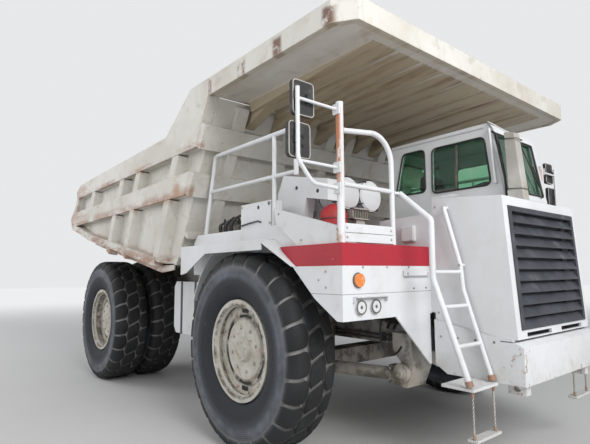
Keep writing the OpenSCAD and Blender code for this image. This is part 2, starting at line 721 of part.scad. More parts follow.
// Rim and tyre are turned about an axis along the width, their outer face towards -y
rim_half = 195;
bead_r = rim_r - 25;
module turned(x, y) translate([x, y, axle_z]) rotate([90, 0, 0]) rotate_extrude($fn = 96) children();
module rim_profile(disc, hub_in, hub_out) {
    polygon([
        [bead_r - 22, -rim_half], [rim_r, -rim_half], [rim_r, -rim_half + 22], [bead_r, -rim_half + 26],
        [bead_r, rim_half - 26], [rim_r, rim_half - 22], [rim_r, rim_half], [bead_r - 22, rim_half],
        [bead_r - 40, rim_half - 45], [bead_r - 24, rim_half - 70], [bead_r - 24, disc + 10],
        [300, disc + 10], [275, disc + 28], [120, disc + 28], [105, hub_out], [0, hub_out],
        [0, hub_out - 30], [spindle_r + pin_gap, hub_out - 30], [spindle_r + pin_gap, hub_in],
        [170, hub_in], [170, disc - 25], [bead_r - 24, disc - 25]
    ]);
}
module tyre_profile() {
    half = tyre_w / 2;
    polygon([
        [bead_r + seat_gap, -rim_half + 28], [bead_r + seat_gap, rim_half - 28],
        [rim_r + 5, rim_half - 24], [560, half - 22], [690, half], [790, half - 4], [870, half - 20],
        [tyre_r - 15, half - 42], [tyre_r, half - 65],
        [tyre_r, -half + 65], [tyre_r - 15, -half + 42], [870, -half + 20], [790, -half + 4],
        [690, -half], [560, -half + 22], [rim_r + 5, -rim_half + 24]
    ]);
}
module front_tyre() { turned(0, -front_tyre_y) tyre_profile(); }
module front_rim() { turned(0, -front_tyre_y) rim_profile(95, -50, 150); }
module front_tyre_right() { color(rubber) placed() on_side(false) front_tyre(); }
module front_tyre_left() { color(rubber) placed() on_side(true) front_tyre(); }
module front_rim_right() { color(dusty) placed() on_side(false) front_rim(); }
module front_rim_left() { color(dusty) placed() on_side(true) front_rim(); }

// Rear twins: two tyres and two rims on one hub
rear_stub_r = 150;
module rear_rim_profile() {
    gap = rear_outer_y - rear_inner_y;
    inner = -gap;
    polygon([
        [bead_r - 22, -rim_half], [rim_r, -rim_half], [rim_r, -rim_half + 22], [bead_r, -rim_half + 26],
        [bead_r, rim_half - 26], [rim_r, rim_half - 22], [rim_r, rim_half], [bead_r - 22, rim_half],
        [bead_r - 40, rim_half - 45], [bead_r - 24, rim_half - 70], [bead_r - 24, 60],
        [300, 60], [270, 85], [0, 85], [0, 55], [rear_stub_r + pin_gap, 55],
        [rear_stub_r + pin_gap, inner - 60], [240, inner - 60], [240, inner - 10], [bead_r - 24, inner - 10],
        [bead_r - 24, inner - rim_half + 40], [bead_r - 22, inner - rim_half], [rim_r, inner - rim_half],
        [rim_r, inner - rim_half + 22], [bead_r, inner - rim_half + 26], [bead_r, inner + rim_half - 26],
        [rim_r, inner + rim_half - 22], [rim_r, inner + rim_half], [bead_r - 24, inner + rim_half],
        [bead_r - 24, inner + 40], [240, inner + 40], [240, 20], [bead_r - 24, 20]
    ]);
}
module rear_tyres() {
    for (y = [rear_outer_y, rear_inner_y]) turned(rear_x, -y) tyre_profile();
}
module rear_rims() { turned(rear_x, -rear_outer_y) rear_rim_profile(); }
module rear_tyres_right() { color(rubber) placed() on_side(false) rear_tyres(); }
module rear_tyres_left() { color(rubber) placed() on_side(true) rear_tyres(); }
module rear_rims_right() { color(dusty) placed() on_side(false) rear_rims(); }
module rear_rims_left() { color(dusty) placed() on_side(true) rear_rims(); }

module rear_axle() {
    color(steel) placed() {
        translate([rear_x, 0, axle_z]) rotate([0, 90, 0]) cylinder(r = 320, h = 420, center = true);
        translate([rear_x + 200, 0, axle_z + 20]) rotate([0, 90, 0]) cylinder(r = 130, h = 130);
        both_sides() {
            cross_pin(rear_x, axle_z, -860, -200, 200);
            cross_pin(rear_x, axle_z, -rear_outer_y - 40, -850, rear_stub_r);
        }
        // Arms that lead forward to the cross member, and the pads under the struts
        both_sides() {
            side_plate([
                [rear_x + 150, 820], [rear_x + 150, 1040], [-2360 - seat_gap, 1240], [-2360 - seat_gap, 1120]
            ], -230, -150);
            block([rear_x - 30, -760, 1000], [rear_x + 150, -620, 1150]);
        }
    }
}
module rear_struts() {
    color(steel) placed() both_sides() {
        bar([rear_x + 60, -690, 1150 + seat_gap], [rear_x + 60, -690, 1480], 60);
        bar([rear_x + 60, -690, 1460], [rear_x + 60, -690, 1850], 85);
        block([rear_x - 60, -700, 1600], [rear_x + 180, -rail_out, 1760]);
    }
}

lamp_z = 1390;
module headlamps() {
    color(glass) placed() both_sides() {
        for (y = [-1497, -1668])
            translate([1361, y, lamp_z]) rotate([0, 90, 0]) cylinder(r = 52, h = 22);
        translate([1361, -1682, 1596]) rotate([0, 90, 0]) cylinder(r = 52, h = 28);
    }
}
module tail_lamps() {
    color(red) placed() both_sides() {
        block([-4690, -860, 1640], [-4660, -rail_out, 1760]);
        for (y = [-800, -690]) translate([-4690, y, 1700]) rotate([0, -90, 0]) cylinder(r = 45, h = 35);
    }
}

// Hoist: two barrels on the frame's pins, a middle stage and a rod in each
hoist_way = unit([hoist_head[0] - hoist_foot[0], 0, hoist_head[1] - hoist_foot[1]]);
hoist_len = norm(hoist_head - hoist_foot);
hoist_a = [hoist_foot[0], -hoist_y, hoist_foot[1]];
module hoist_barrels() {
    color(white) placed() both_sides() difference() {
        union() {
            cross_pin(hoist_foot[0], hoist_foot[1], -hoist_y - 70, -hoist_y + 70, 85);
            bar(hoist_a, hoist_a + hoist_way * 1180, 105);
        }
        cross_pin(hoist_foot[0], hoist_foot[1], -hoist_y - 110, -hoist_y + 110, 50 + pin_gap);
        bar(hoist_a + hoist_way * 110, hoist_a + hoist_way * 1200, 80 + pin_gap);
    }
}
module hoist_stages() {
    color(steel) placed() both_sides() difference() {
        bar(hoist_a + hoist_way * 125, hoist_a + hoist_way * 1230, 80);
        bar(hoist_a + hoist_way * 140, hoist_a + hoist_way * 1240, 55 + pin_gap);
    }
}
module hoist_rods() {
    color(steel) placed() both_sides() {
        bar(hoist_a + hoist_way * 160, hoist_a + hoist_way * (hoist_len - 30), 55);
        cross_pin(hoist_head[0], hoist_head[1], -hoist_y - 50, -hoist_y + 50, 80);
    }
}

// Body floor with its two long beams, the bolster, the hinge lugs and the hoist's brackets
floor_outline = [
    [head_x(floor_low), floor_low], [floor_bend_x, floor_low], [tail_x, floor_under(tail_x)],
    [-5120, 2400], [-5570, 2500], [-5670, 2710], [-5640, 2730], [-5530, 2590],
    [-5110, 2490], [tail_x - 10, floor_under(tail_x) + floor_t], [floor_bend_x - 15, floor_low + floor_t],
    [head_x(floor_low + floor_t), floor_low + floor_t]
];
module body_floor() {
    beam = [
        [-1420, floor_low], [-1420, floor_low - 120], [floor_bend_x, floor_low - beam_h],
        [-4650, floor_under(-4650) - beam_h], [-4700, floor_under(-4700)], [floor_bend_x, floor_low]
    ];
    lug_in = rail_out + 15;
    color(dusty) placed() difference() {
        union() {
            side_plate(floor_outline, -wall_in, wall_in);
            both_sides() {
                side_plate(beam, -rail_out, -rail_in);
                side_plate([
                    [hinge_x - 110, hinge_z], [hinge_x - 60, hinge_z - 95], [hinge_x + 60, hinge_z - 95],
                    [hinge_x + 110, hinge_z], [hinge_x + 300, 2300], [hinge_x - 250, 2400]
                ], -lug_in - 80, -lug_in);
                hoist_lugs();
            }
            // Cross ribs under the floor
            for (x = [-2350, -2700, -3550, -4150])
                block([x - 40, -wall_in, floor_under(x) - 90], [x + 40, wall_in, floor_under(x) + 30]);
        }
        both_sides() {
            cross_pin(hinge_x, hinge_z, -lug_in - 90, -lug_in + 10, 60 + pin_gap);
        }
    }
}
module hoist_lugs() {
    x = hoist_head[0];
    z = hoist_head[1];
    for (y = [-hoist_y - 85, -hoist_y + 60])
        side_plate([
            [x - 380, floor_under(x - 380) + 20], [x - 330, z - 20], [x - 60, z - 70], [x + 70, z - 70],
            [x + 120, floor_under(x + 120) + 20]
        ], y, y + 25);
}

// Body side: the wall, three rails and the ribs that lean forward between them
rib_lean = 24;
top_low = 3040;
top_high = 3300;
mid_low = 2540;
mid_high = 2790;
// Ribs: forward place at the upper rail, upper height, lower height
ribs = [
    [-1080, 3060, 2760], [-2230, 3060, 2760], [-2850, 3060, 2760], [-4200, 3060, 2760],
    [-1290, 2560, 1830], [-2420, 2560, 1900], [-3150, 2560, 1990]
];
rib_w = 250;
module rib(r) {
    length = (r[1] - r[2]) / cos(rib_lean);
    translate([r[0] - rib_w / 2, -wall_out, r[1]]) rotate([0, rib_lean, 0]) translate([0, 0, -length])
        linear_extrude(length) polygon([
            [-rib_w / 2, 2], [-rib_w / 2 + 50, -rib_depth + 5], [rib_w / 2 - 50, -rib_depth + 5], [rib_w / 2, 2]
        ]);
}
module body_side() {
    rear_edge = [[-5420, 2860], [-5300, 3030], [-5330, 3170], [-5110, 3260]];
    rim_high = canopy_z + canopy_rim;
    side_plate(concat([
        [head_x(floor_low), floor_low], [floor_bend_x, floor_low], [tail_x, floor_under(tail_x)],
        [-5120, 2400], [-5570, 2500], [-5670, 2710]
    ], rear_edge, [[-1530, top_high], [-850, rim_high], [head_top[0], rim_high], head_top]), -wall_out, -wall_in);
    translate([0, -wall_out, 0]) rotate([90, 0, 0]) linear_extrude(rib_depth) side_relief(rim_high);
    for (r = ribs) rib(r);
}
// All that stands out from the wall to the full width: rails, rear post, floor edge and front gusset
module side_relief(rim_high) {
    polygon([
        [head_x(top_low) - 3, top_low], [head_x(top_high) - 3, top_high], [-1530, top_high + 20],
        [-5110, 3270], [-5330, 3170], [-5300, top_low]
    ]);
    polygon([
        [head_x(mid_low) - 3, mid_low], [head_x(mid_high) - 3, mid_high], [-5500, mid_high], [-5580, mid_low]
    ]);
    polygon([
        [floor_bend_x + 29, floor_low - 10], [tail_x, floor_under(tail_x) - 10], [-5120, 2390],
        [-5570, 2490], [-5590, 2580], [-5120, 2500], [tail_x, floor_under(tail_x) + 100],
        [floor_bend_x + 29, floor_low + 94]
    ]);
    polygon([
        [-5400, 2480], [-5560, 2485], [-5680, 2700], [-5420, 2870], [-5300, 3040], [-5340, 3165],
        [-5230, 3210], [-5200, 3030], [-5300, 2840]
    ]);
    polygon([
        [head_x(top_high) - 30, top_high - 40], [head_top[0] - 3, canopy_z], [head_top[0] - 3, rim_high - 2],
        [-849, rim_high - 2], [-1525, top_high - 2], [-1500, top_high - 40]
    ]);
}
module body_side_right() { color(white) placed() on_side(false) body_side(); }
module body_side_left() { color(white) placed() on_side(true) body_side(); }

// Headboard: a leaning plate with beams across and posts, drawn along its own slope
post_places = [175, 875, 1575];
head_t = 16;
module body_headboard() {
    slope_len = norm(head_top - head_foot);
    // Beams: height along the slope, width of the beam, half length
    beams = [[0, 120, wall_out], [270, 60, wall_out], [780, 270, body_y], [1330, 270, body_y]];
    color(white) placed() translate([head_foot[0], 0, head_foot[1]]) rotate([0, head_angle, 0]) {
        block([0, -wall_out, -60], [head_t, wall_out, slope_len]);
        for (b = beams) block([0, -b[2], b[0]], [100, b[2], b[0] + b[1]]);
        for (y = post_places, side = [-1, 1])
            block([0, side * y - 70, 0], [85, side * y + 70, slope_len - 40]);
    }
}

// Canopy: a plate in a rim, long tapering ribs below it and gussets down to the headboard
hat_pitch = 350;
hat_depth = 105;
canopy_plate = 6;
module body_canopy() {
    back = head_top[0] + seat_gap;
    under = canopy_z + canopy_plate;
    face = head_t / cos(head_angle) + seat_gap;
    outer = [
        [back, -1995], [1424, -1995], [canopy_front, -1869], [canopy_front, 1869], [1424, 1995], [back, 1995]
    ];
    inner = [
        [back - 1, -1935], [1400, -1935], [canopy_front - 60, -1840], [canopy_front - 60, 1840],
        [1400, 1935], [back - 1, 1935]
    ];
    color(white) placed() {
        difference() {
            floor_plate(outer, canopy_z, canopy_z + canopy_rim);
            floor_plate(inner, canopy_z - 1, under);
            floor_plate(inner, under + 20, canopy_z + canopy_rim + 1);
        }
        for (i = [-4 : 4]) {
            intersection() {
                translate([back + 85, i * hat_pitch, under + 5]) rotate([90, 0, 90])
                    linear_extrude(canopy_front - back - 230)
                    polygon([[-155, 0], [-105, -hat_depth - 5], [105, -hat_depth - 5], [155, 0]]);
                side_plate([
                    [back + 80, under + 5], [canopy_front - 100, under + 5], [canopy_front - 100, under - 12],
                    [back + 80, under - hat_depth]
                ], -1995, 1995);
            }
            side_plate([
                [head_x(under + 5) + face, under + 5], [head_x(3310) + face, 3310], [-120, under - hat_depth + 10],
                [-120, under + 5]
            ], i * hat_pitch - 60, i * hat_pitch + 60);
        }
    }
}

frame();
cross_members();
deck_portals();
bumper();
hood();
grille();
radiator();
engine();
engine_cover();
drive_shaft();
deck_right();
deck_left();
cab_shell();
cab_glass();
cab_door();
door_glass();
cab_seat();
cab_controls();
handrails();
ladders();
mirror_arms();
mirrors();
air_cleaners();
red_canister();
deck_boxes();
intake_stack();
fuel_tank();
hydraulic_tank();
front_axle();
front_struts();
knuckle_right();
knuckle_left();
tie_rod();
steering_barrel_right();
steering_barrel_left();
steering_rod_right();
steering_rod_left();
front_tyre_right();
front_tyre_left();
front_rim_right();
front_rim_left();
rear_tyres_right();
rear_tyres_left();
rear_rims_right();
rear_rims_left();
rear_axle();
rear_struts();
headlamps();
tail_lamps();
hoist_barrels();
hoist_stages();
hoist_rods();
body_floor();
body_side_right();
body_side_left();
body_headboard();
body_canopy();
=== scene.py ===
import json
import math

import bmesh
import bpy
from mathutils import Matrix, Vector


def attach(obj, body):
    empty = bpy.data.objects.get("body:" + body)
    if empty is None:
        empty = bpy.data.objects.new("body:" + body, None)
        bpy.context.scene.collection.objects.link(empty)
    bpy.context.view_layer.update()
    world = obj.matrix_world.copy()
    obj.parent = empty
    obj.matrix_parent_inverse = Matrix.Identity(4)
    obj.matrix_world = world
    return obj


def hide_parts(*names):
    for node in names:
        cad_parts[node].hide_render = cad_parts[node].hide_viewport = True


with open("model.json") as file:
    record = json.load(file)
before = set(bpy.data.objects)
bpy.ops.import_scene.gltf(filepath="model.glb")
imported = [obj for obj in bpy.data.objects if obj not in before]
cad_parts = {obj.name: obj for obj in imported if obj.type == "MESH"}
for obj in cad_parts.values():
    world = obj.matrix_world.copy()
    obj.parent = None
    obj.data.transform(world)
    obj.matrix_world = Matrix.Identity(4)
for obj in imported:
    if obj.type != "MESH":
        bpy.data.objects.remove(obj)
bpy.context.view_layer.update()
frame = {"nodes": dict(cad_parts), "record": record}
scene = bpy.context.scene

# Lengths are in metres
FRONT_AXLE_X, REAR_AXLE_X, AXLE_Z = 1.755, -2.335, 0.93
UP, FRONT, BACK, DOWN = (0, 0, 1), (1, 0, 0), (-1, 0, 0), (0, 0, -1)
SIDES = (("right", -1), ("left", 1))


def A(x, y, z):
    """A point by its distance ahead of the front axle, its place across (the right is negative) and its height."""
    return Vector((x + FRONT_AXLE_X, y, z))


def turns(count, first=0):
    """Even angles round a circle."""
    return [2 * math.pi * (i + first) / count for i in range(count)]


def polar(radius, angle):
    return radius * math.cos(angle), radius * math.sin(angle)


# ---------------------------------------------------------------- materials


def math_node(operation, turned=False):
    """A method that joins a wire and another value in a Math node."""

    def method(self, other=0):
        a, b = (other, self) if turned else (self, other)
        return self.tree.add("ShaderNodeMath", {0: a, 1: b}, operation=operation)

    return method


class Wire:
    """One output socket. Arithmetic on it adds Math nodes, on either side of the sign."""

    def __init__(self, tree, socket):
        self.tree, self.socket = tree, socket

    __add__ = __radd__ = math_node("ADD")
    __mul__ = __rmul__ = math_node("MULTIPLY")
    __sub__, __rsub__ = math_node("SUBTRACT"), math_node("SUBTRACT", turned=True)
    __truediv__, __pow__, __abs__ = math_node("DIVIDE"), math_node("POWER"), math_node("ABSOLUTE")
    over, wrap = math_node("GREATER_THAN"), math_node("FLOORED_MODULO")
    least, most = math_node("MINIMUM"), math_node("MAXIMUM")

    def ramp(self, low, high):
        """This value's place between low and high, eased at both ends and held inside them."""
        sockets = {"Value": self, "From Min": low, "From Max": high}
        return self.tree.add("MapRange", sockets, interpolation_type="SMOOTHSTEP", clamp=True)


class Tree:
    """A node tree, with one method that adds a node, sets it up and joins its sockets."""

    family = "ShaderNode"

    def add(self, kind, inputs=None, out=0, **settings):
        node = self.tree.nodes.new(kind if "Node" in kind else self.family + kind)
        for key, value in settings.items():
            setattr(node, key, value)
        for key, value in (inputs or {}).items():
            for one in value if isinstance(value, list) else [value]:
                self.feed(node.inputs[key], one)
        return Wire(self, node.outputs[out]) if node.outputs else None

    def feed(self, socket, value):
        if isinstance(value, Wire):
            self.tree.links.new(value.socket, socket)
        elif isinstance(value, tuple) and socket.type == "RGBA":
            socket.default_value = (*value[:3], 1)
        else:
            socket.default_value = value


class Paint(Tree):
    """A material's node tree with its shader, and the colour that was laid on last."""

    def __init__(self, name, **plain):
        self.material = bpy.data.materials.new(name)
        self.material.use_nodes = True
        self.tree = self.material.node_tree
        self.tree.nodes.clear()
        self.shader = self.tree.nodes.new("ShaderNodeBsdfPrincipled")
        self.add("OutputMaterial", {0: Wire(self, self.shader.outputs[0])})
        self.set(**plain)
        self.place = self.add("TexCoord", out="Object")
        self.x, self.y, self.z = (self.add("SeparateXYZ", {0: self.place}, i) for i in range(3))

    @property
    def forward(self):
        return self.x - FRONT_AXLE_X

    @property
    def across(self):
        return abs(self.y)

    def set(self, **values):
        for key, value in values.items():
            self.feed(self.shader.inputs[key.replace("_", " ").title().replace("Ior", "IOR")], value)

    def mix(self, mask, first, second):
        """first where mask is 0, second where it is 1. Both are colours."""
        return self.add("Mix", {0: mask, 6: first, 7: second}, 2, data_type="RGBA")

    def coat(self, mask, colour):
        """Lay another colour over the last one where mask is 1."""
        self.colour = self.mix(mask, self.colour, colour)

    def noise(self, scale, detail=3, rough=0.55, stretch=None, twist=0):
        """Noise on Object coordinates, which stretch scales along each axis."""
        place = self.place
        if stretch:
            place = self.add("Mapping", {"Vector": place, "Scale": stretch})
        sockets = {"Vector": place, "Scale": scale, "Detail": detail, "Roughness": rough, "Distortion": twist}
        return self.add("TexNoise", sockets)

    def shape(self, name):
        """A number that the mesh carries at each point."""
        return self.add("Attribute", out=2, attribute_name=name)

    def near(self, value, centre, half, soft):
        """1 where value is within half of centre, fading over soft."""
        return 1 - abs(value - centre).ramp(half, half + soft)

    def rounding(self, radius):
        return self.add("Bevel", {"Radius": radius}, samples=6)

    def edges(self, radius):
        """1 along the outer and inner edges of a shape and 0 on its faces."""
        flat = self.add("NewGeometry", out=1)
        same = self.add("VectorMath", {0: self.rounding(radius), 1: flat}, 1, operation="DOT_PRODUCT")
        return (1 - same).ramp(0.02, 0.3)

    def end(self, roughness, height, distance, strength=0.5, rounded=0):
        """Give the shader its colour, roughness and small relief."""
        sockets = {"Height": height, "Distance": distance, "Strength": strength}
        if rounded:
            sockets["Normal"] = self.rounding(rounded)
        self.set(base_color=self.colour, roughness=roughness, normal=self.add("Bump", sockets))
        return self.material


# Finishes: linear colours
WHITES = (0.66, 0.675, 0.69), (0.6, 0.61, 0.615)
STREAK = (0.43, 0.4, 0.35)
DUST = (0.33, 0.27, 0.2)
RUST = (0.13, 0.05, 0.024)
RUST_PALE = (0.36, 0.155, 0.065)
RUST_BRIGHT = (0.44, 0.135, 0.04)
# Dark grime, also laid as painted shade low under the truck and in the wheels' gutters
GRIME_AND_SHADE = (0.05, 0.042, 0.034)
BAND_RED = (0.37, 0.013, 0.028)
CANOPY_SPOTS = (1.391, 0.752, 0.186, -0.45)


def worn_paint(name, clean, shade, dust, rust, edge_wear=0.006, low_mud=0.5, own=None):
    """Old paint: soft stains, streaks that run down, rust specks and worn edges. own adds what one part has."""
    p = Paint(name)
    stain = p.noise(4.5, 6, 0.65, twist=0.4)
    streak = p.noise(1, 5, 0.6, (9, 9, 0.9))
    p.colour = p.mix(p.noise(1.3, 4, 0.6).ramp(0.35, 0.7), clean, shade)
    p.coat(stain.ramp(0.52, 0.78) * dust, DUST)
    p.coat(streak.ramp(0.57, 0.8) * dust * 0.9, STREAK)
    mud = (1.15 - p.z + (stain - 0.5) * 1.1).ramp(0, 0.8) * low_mud
    p.coat(mud, DUST)
    chips = p.noise(26, 5, 0.7)
    worn = p.edges(edge_wear) * chips.ramp(0.45, 0.62) * rust
    specks = p.noise(13, 8, 0.72).ramp(0.66 - 0.05 * rust, 0.74 - 0.05 * rust)
    bleed = (p.noise(5, 3, 0.5).ramp(0.52, 0.66) * specks).least(1)
    p.coat(bleed * 0.85, p.mix(chips.ramp(0.4, 0.6), RUST_PALE, RUST))
    p.coat((worn * 0.9).least(1), RUST)
    if own:
        own(p, stain, chips)
    relief = stain * 0.4 + p.noise(60, 2) * 0.15 - bleed * 0.8 - worn * 0.6
    return p.end((0.42 + stain * 0.25 + bleed * 0.3 + mud * 0.2).least(0.95), relief, 0.0018, rounded=0.004)


def deck_marks(p, stain, chips):
    """The red band round the front boxes, cut on a slant at its rear end, and the seam below it."""
    rear_end = 0.603 + (1.882 - p.z) * 0.994
    lip = p.across.over(1.8535).most((0.985 - p.forward).over(0) * p.across.over(1.8525))
    inside = p.forward.over(rear_end) * p.z.over(1.708) * (1 - p.z.over(1.8825)) * (1 - lip)
    red = p.mix(stain.ramp(0.45, 0.8) * 0.6, BAND_RED, (0.27, 0.022, 0.03))
    p.coat(inside * (1 - chips.ramp(0.66, 0.7) * 0.5), red)
    p.coat(p.near(p.z, 1.4905, 0.0016, 0.0012) * p.forward.over(0.9) * 0.75, GRIME_AND_SHADE)


def post_rust(p, stain, chips):
    """Rust that has run down the outer side of each corner post."""
    column = p.near(p.across, 1.83, 0.03, 0.012) * p.near(p.forward, 1.318, 0.028, 0.016)
    high = p.z.ramp(2.2, 2.45) * (1 - p.z.ramp(2.93, 2.98))
    flake = p.noise(8, 6, 0.7, (3, 3, 0.8))
    mask = column * (high * 0.95).most(flake.ramp(0.48, 0.6) * 0.8) * flake.ramp(0.34, 0.46)
    p.coat(mask, p.mix(chips.ramp(0.42, 0.6), RUST_BRIGHT, RUST_PALE))


def rust_and_tail_shade(p, stain, chips):
    """Rust along the side rails and the floor's edge, and painted shade in rust colours that darkens the body's rear
    end.
    """
    outside = p.across.over(1.95)
    floor_edge = 1.76 + ((-1.77 - p.forward) * 0.175).most(0)
    low = 1 - (p.z - floor_edge).ramp(0.05, 0.16)
    rails = p.near(p.z, 2.555, 0.012, 0.1).most(p.near(p.z, 3.055, 0.01, 0.06))
    # Painted shade: the rear end of the body is darkened, laid in rust colours
    tail = (1 - p.forward.ramp(-5, -4)) * 0.55
    patch = p.noise(3.2, 8, 0.72, (0.5, 1, 1.6))
    mask = (outside * (rails * 0.8).most(tail)).most(low * 0.9) * patch.ramp(0.4, 0.56)
    p.coat(mask * 0.85, p.mix(chips.ramp(0.42, 0.62), RUST_PALE, RUST))
    front_end = p.near(p.z, 2.665, 0.1, 0.03) * p.near(p.forward, -1.17, 0.04, 0.1) * outside
    p.coat(front_end * patch.ramp(0.36, 0.5) * 0.7, RUST_PALE)


def canopy_marks(p, stain, chips):
    """Four rusted patches on each side rail, and brown streaks that run forward below the plate."""
    spots = sum(p.near(p.forward, place, 0.035, 0.05) for place in CANOPY_SPOTS) * p.near(p.z, 3.62, 0.055, 0.05)
    ragged = p.noise(7, 6, 0.7).ramp(0.38, 0.52)
    p.coat((spots * p.across.over(1.93) * ragged).least(1) * 0.9, RUST)
    below = (1 - p.z.ramp(3.535, 3.56)) * (1 - p.across.over(1.99))
    runs = p.noise(2.2, 7, 0.66, (0.35, 3.2, 1))
    p.coat(below * 0.85, (0.35, 0.275, 0.165))
    p.coat(below * runs.ramp(0.5, 0.68) * 0.8, (0.19, 0.115, 0.055))
    p.coat(below * stain.ramp(0.56, 0.8) * 0.5, (0.56, 0.5, 0.4))


def bumper_rust(p, stain, chips):
    """Chipped edges and corners of the bumper."""
    ends = p.across.ramp(0.6, 0.75) * p.forward.over(2)
    low = 1 - p.z.ramp(0.79, 0.86)
    chipped = p.noise(16, 7, 0.75).ramp(0.56, 0.62)
    p.coat((ends.most(low) * chipped).least(1) * 0.9, p.mix(chips.ramp(0.4, 0.6), RUST_PALE, RUST))


def grease_and_low_shade(p, stain, chips):
    """Dark greasy grime and soot on what sits low between the wheels, and painted shade: darker towards the bottom,
    where the shade under the truck falls.
    """
    # Painted shade: dark grime laid thicker lower down, in place of the shade under the truck and in its crevices
    low = 1 - p.z.ramp(0.95, 1.65)
    p.coat((p.noise(3.5, 6, 0.68).ramp(0.42, 0.6) * low * 0.8).least(0.8), GRIME_AND_SHADE)


def rubber_tyre():
    """Dark blocks, pale dust in the grooves between them, and a bluish dusty side with fine rings."""
    p = Paint("tyre rubber")
    hollow, radius = p.shape("hollow"), p.shape("radius")
    patch = p.noise(3, 5, 0.6)
    fine = p.noise(38, 6, 0.7)
    worn = p.noise(9, 4, 0.6)
    flank = (1 - radius.ramp(0.8, 0.84)) * (1 - hollow)
    rings = abs((radius * 62).wrap(1) - 0.5)
    ring = p.near(radius, 0.745, 0.02, 0.05) * p.noise(2.2, 6, 0.7).ramp(0.34, 0.62)
    p.colour = p.mix(radius.ramp(0.6, 0.72), (0.013, 0.016, 0.022), (0.05, 0.057, 0.068))
    p.coat(rings.ramp(0.36, 0.46) * radius.ramp(0.66, 0.7) * 0.5, (0.17, 0.175, 0.185))
    p.coat(ring * 0.75, (0.15, 0.165, 0.19))
    p.coat(patch.ramp(0.45, 0.72) * 0.6, (0.02, 0.023, 0.029))
    p.coat(fine.ramp(0.5, 0.75) * p.noise(4).ramp(0.5, 0.7) * 0.5, (0.12, 0.125, 0.135))
    blocks = p.mix(patch.ramp(0.35, 0.7), (0.006, 0.0063, 0.007), (0.015, 0.0155, 0.017))
    p.coat(1 - flank, blocks)
    p.coat((hollow * (worn * 0.8 + 0.6)).least(1), (0.24, 0.235, 0.225))
    p.coat(fine.ramp(0.58, 0.8) * 0.16, (0.14, 0.135, 0.125))
    return p.end((0.66 + fine * 0.25).least(0.95), fine * 0.5 + worn * 0.5 + rings * flank * 0.6, 0.003, 0.6)


def rim_paint():
    p = Paint("wheel paint")
    rusty = p.noise(11, 8, 0.75)
    p.colour = p.mix(p.noise(6, 6, 0.65).ramp(0.35, 0.7), (0.52, 0.5, 0.45), (0.38, 0.35, 0.29))
    p.coat(rusty.ramp(0.56, 0.66) * 0.85, RUST_PALE)
    p.coat(rusty.ramp(0.63, 0.7) * 0.9, GRIME_AND_SHADE)
    # Painted shade: dark rings in the lock ring's gutter and at the disc's edge, where the gap lies in shade, broken up
    # by noise
    along = p.x - (p.x.over(0) * (FRONT_AXLE_X - REAR_AXLE_X) + REAR_AXLE_X)
    up = p.z - AXLE_Z
    radius = (along * along + up * up) ** 0.5
    ring = p.near(radius, 0.315, 0.012, 0.035).most(p.near(radius, 0.432, 0.006, 0.012))
    p.coat(ring * p.noise(14, 6, 0.72).ramp(0.38, 0.6) * 0.85, GRIME_AND_SHADE)
    p.coat(p.edges(0.008) * 0.7, GRIME_AND_SHADE)
    return p.end((0.5 + rusty * 0.4).least(0.95), rusty * 0.6, 0.002, rounded=0.004)


def bare_steel():
    p = Paint("greasy steel")
    film = p.noise(7, 5, 0.65)
    rusty = p.noise(15, 7, 0.75)
    p.colour = p.mix(film.ramp(0.35, 0.7), (0.2, 0.19, 0.17), (0.07, 0.06, 0.05))
    p.coat(rusty.ramp(0.52, 0.7) * 0.7, RUST_PALE)
    p.coat(film.ramp(0.6, 0.8) * 0.6, DUST)
    p.set(metallic=0.55 - film.ramp(0.4, 0.7) * 0.4)
    return p.end((0.4 + film * 0.4).least(0.9), p.noise(55) * 0.3 + rusty * 0.4, 0.0015, rounded=0.004)


def dark_paint(name, base, pale):
    p = Paint(name)
    film = p.noise(5, 5, 0.65)
    p.colour = p.mix(film.ramp(0.35, 0.75), base, pale)
    p.coat(film.ramp(0.58, 0.8) * 0.4, DUST)
    p.coat(p.edges(0.004) * 0.35, (0.3, 0.29, 0.27))
    return p.end((0.35 + film * 0.35).least(0.9), p.noise(40) * 0.3 + film * 0.4, 0.001, rounded=0.002)


def window_glass():
    p = Paint("window glass", transmission_weight=1, ior=1.45, roughness=0.03)
    smear = p.noise(4, 5, 0.6)
    p.set(base_color=p.mix(smear.ramp(0.45, 0.75), (0.4, 0.66, 0.5), (0.55, 0.68, 0.56)))
    p.set(roughness=smear.ramp(0.5, 0.8) * 0.18 + 0.02)
    return p.material


def lens_glass(name, tint, upper=None):
    """Ribbed, dusty glass. upper tints the lamps above the headlamps."""
    p = Paint(name, coat_roughness=0.05, coat_weight=0.8)
    dusty = p.noise(25, 4, 0.6)
    p.colour = p.mix(p.z.over(1.5), tint, upper or tint)
    p.coat(dusty.ramp(0.45, 0.75) * 0.5, (0.5, 0.46, 0.38))
    return p.end(0.12 + dusty.ramp(0.4, 0.8) * 0.35, abs((p.y * 90).wrap(1) - 0.5), 0.002, 0.6)


def matte_plastic():
    p = Paint("dark plastic")
    dusty = p.noise(9, 5, 0.6)
    p.colour = p.mix(dusty.ramp(0.45, 0.75) * 0.5, (0.022, 0.022, 0.024), (0.16, 0.145, 0.12))
    return p.end((0.5 + dusty * 0.3).least(0.9), p.noise(160, 2), 0.0006)


def seat_cloth():
    p = Paint("seat cloth")
    weave = sum(abs((axis * 260).wrap(1) - 0.5) for axis in (p.x, p.y))
    p.colour = p.mix(p.noise(8, 4, 0.6).ramp(0.4, 0.75), (0.03, 0.031, 0.036), (0.085, 0.08, 0.075))
    return p.end((0.8 + weave * 0.1).least(0.98), weave, 0.0012, 0.7)


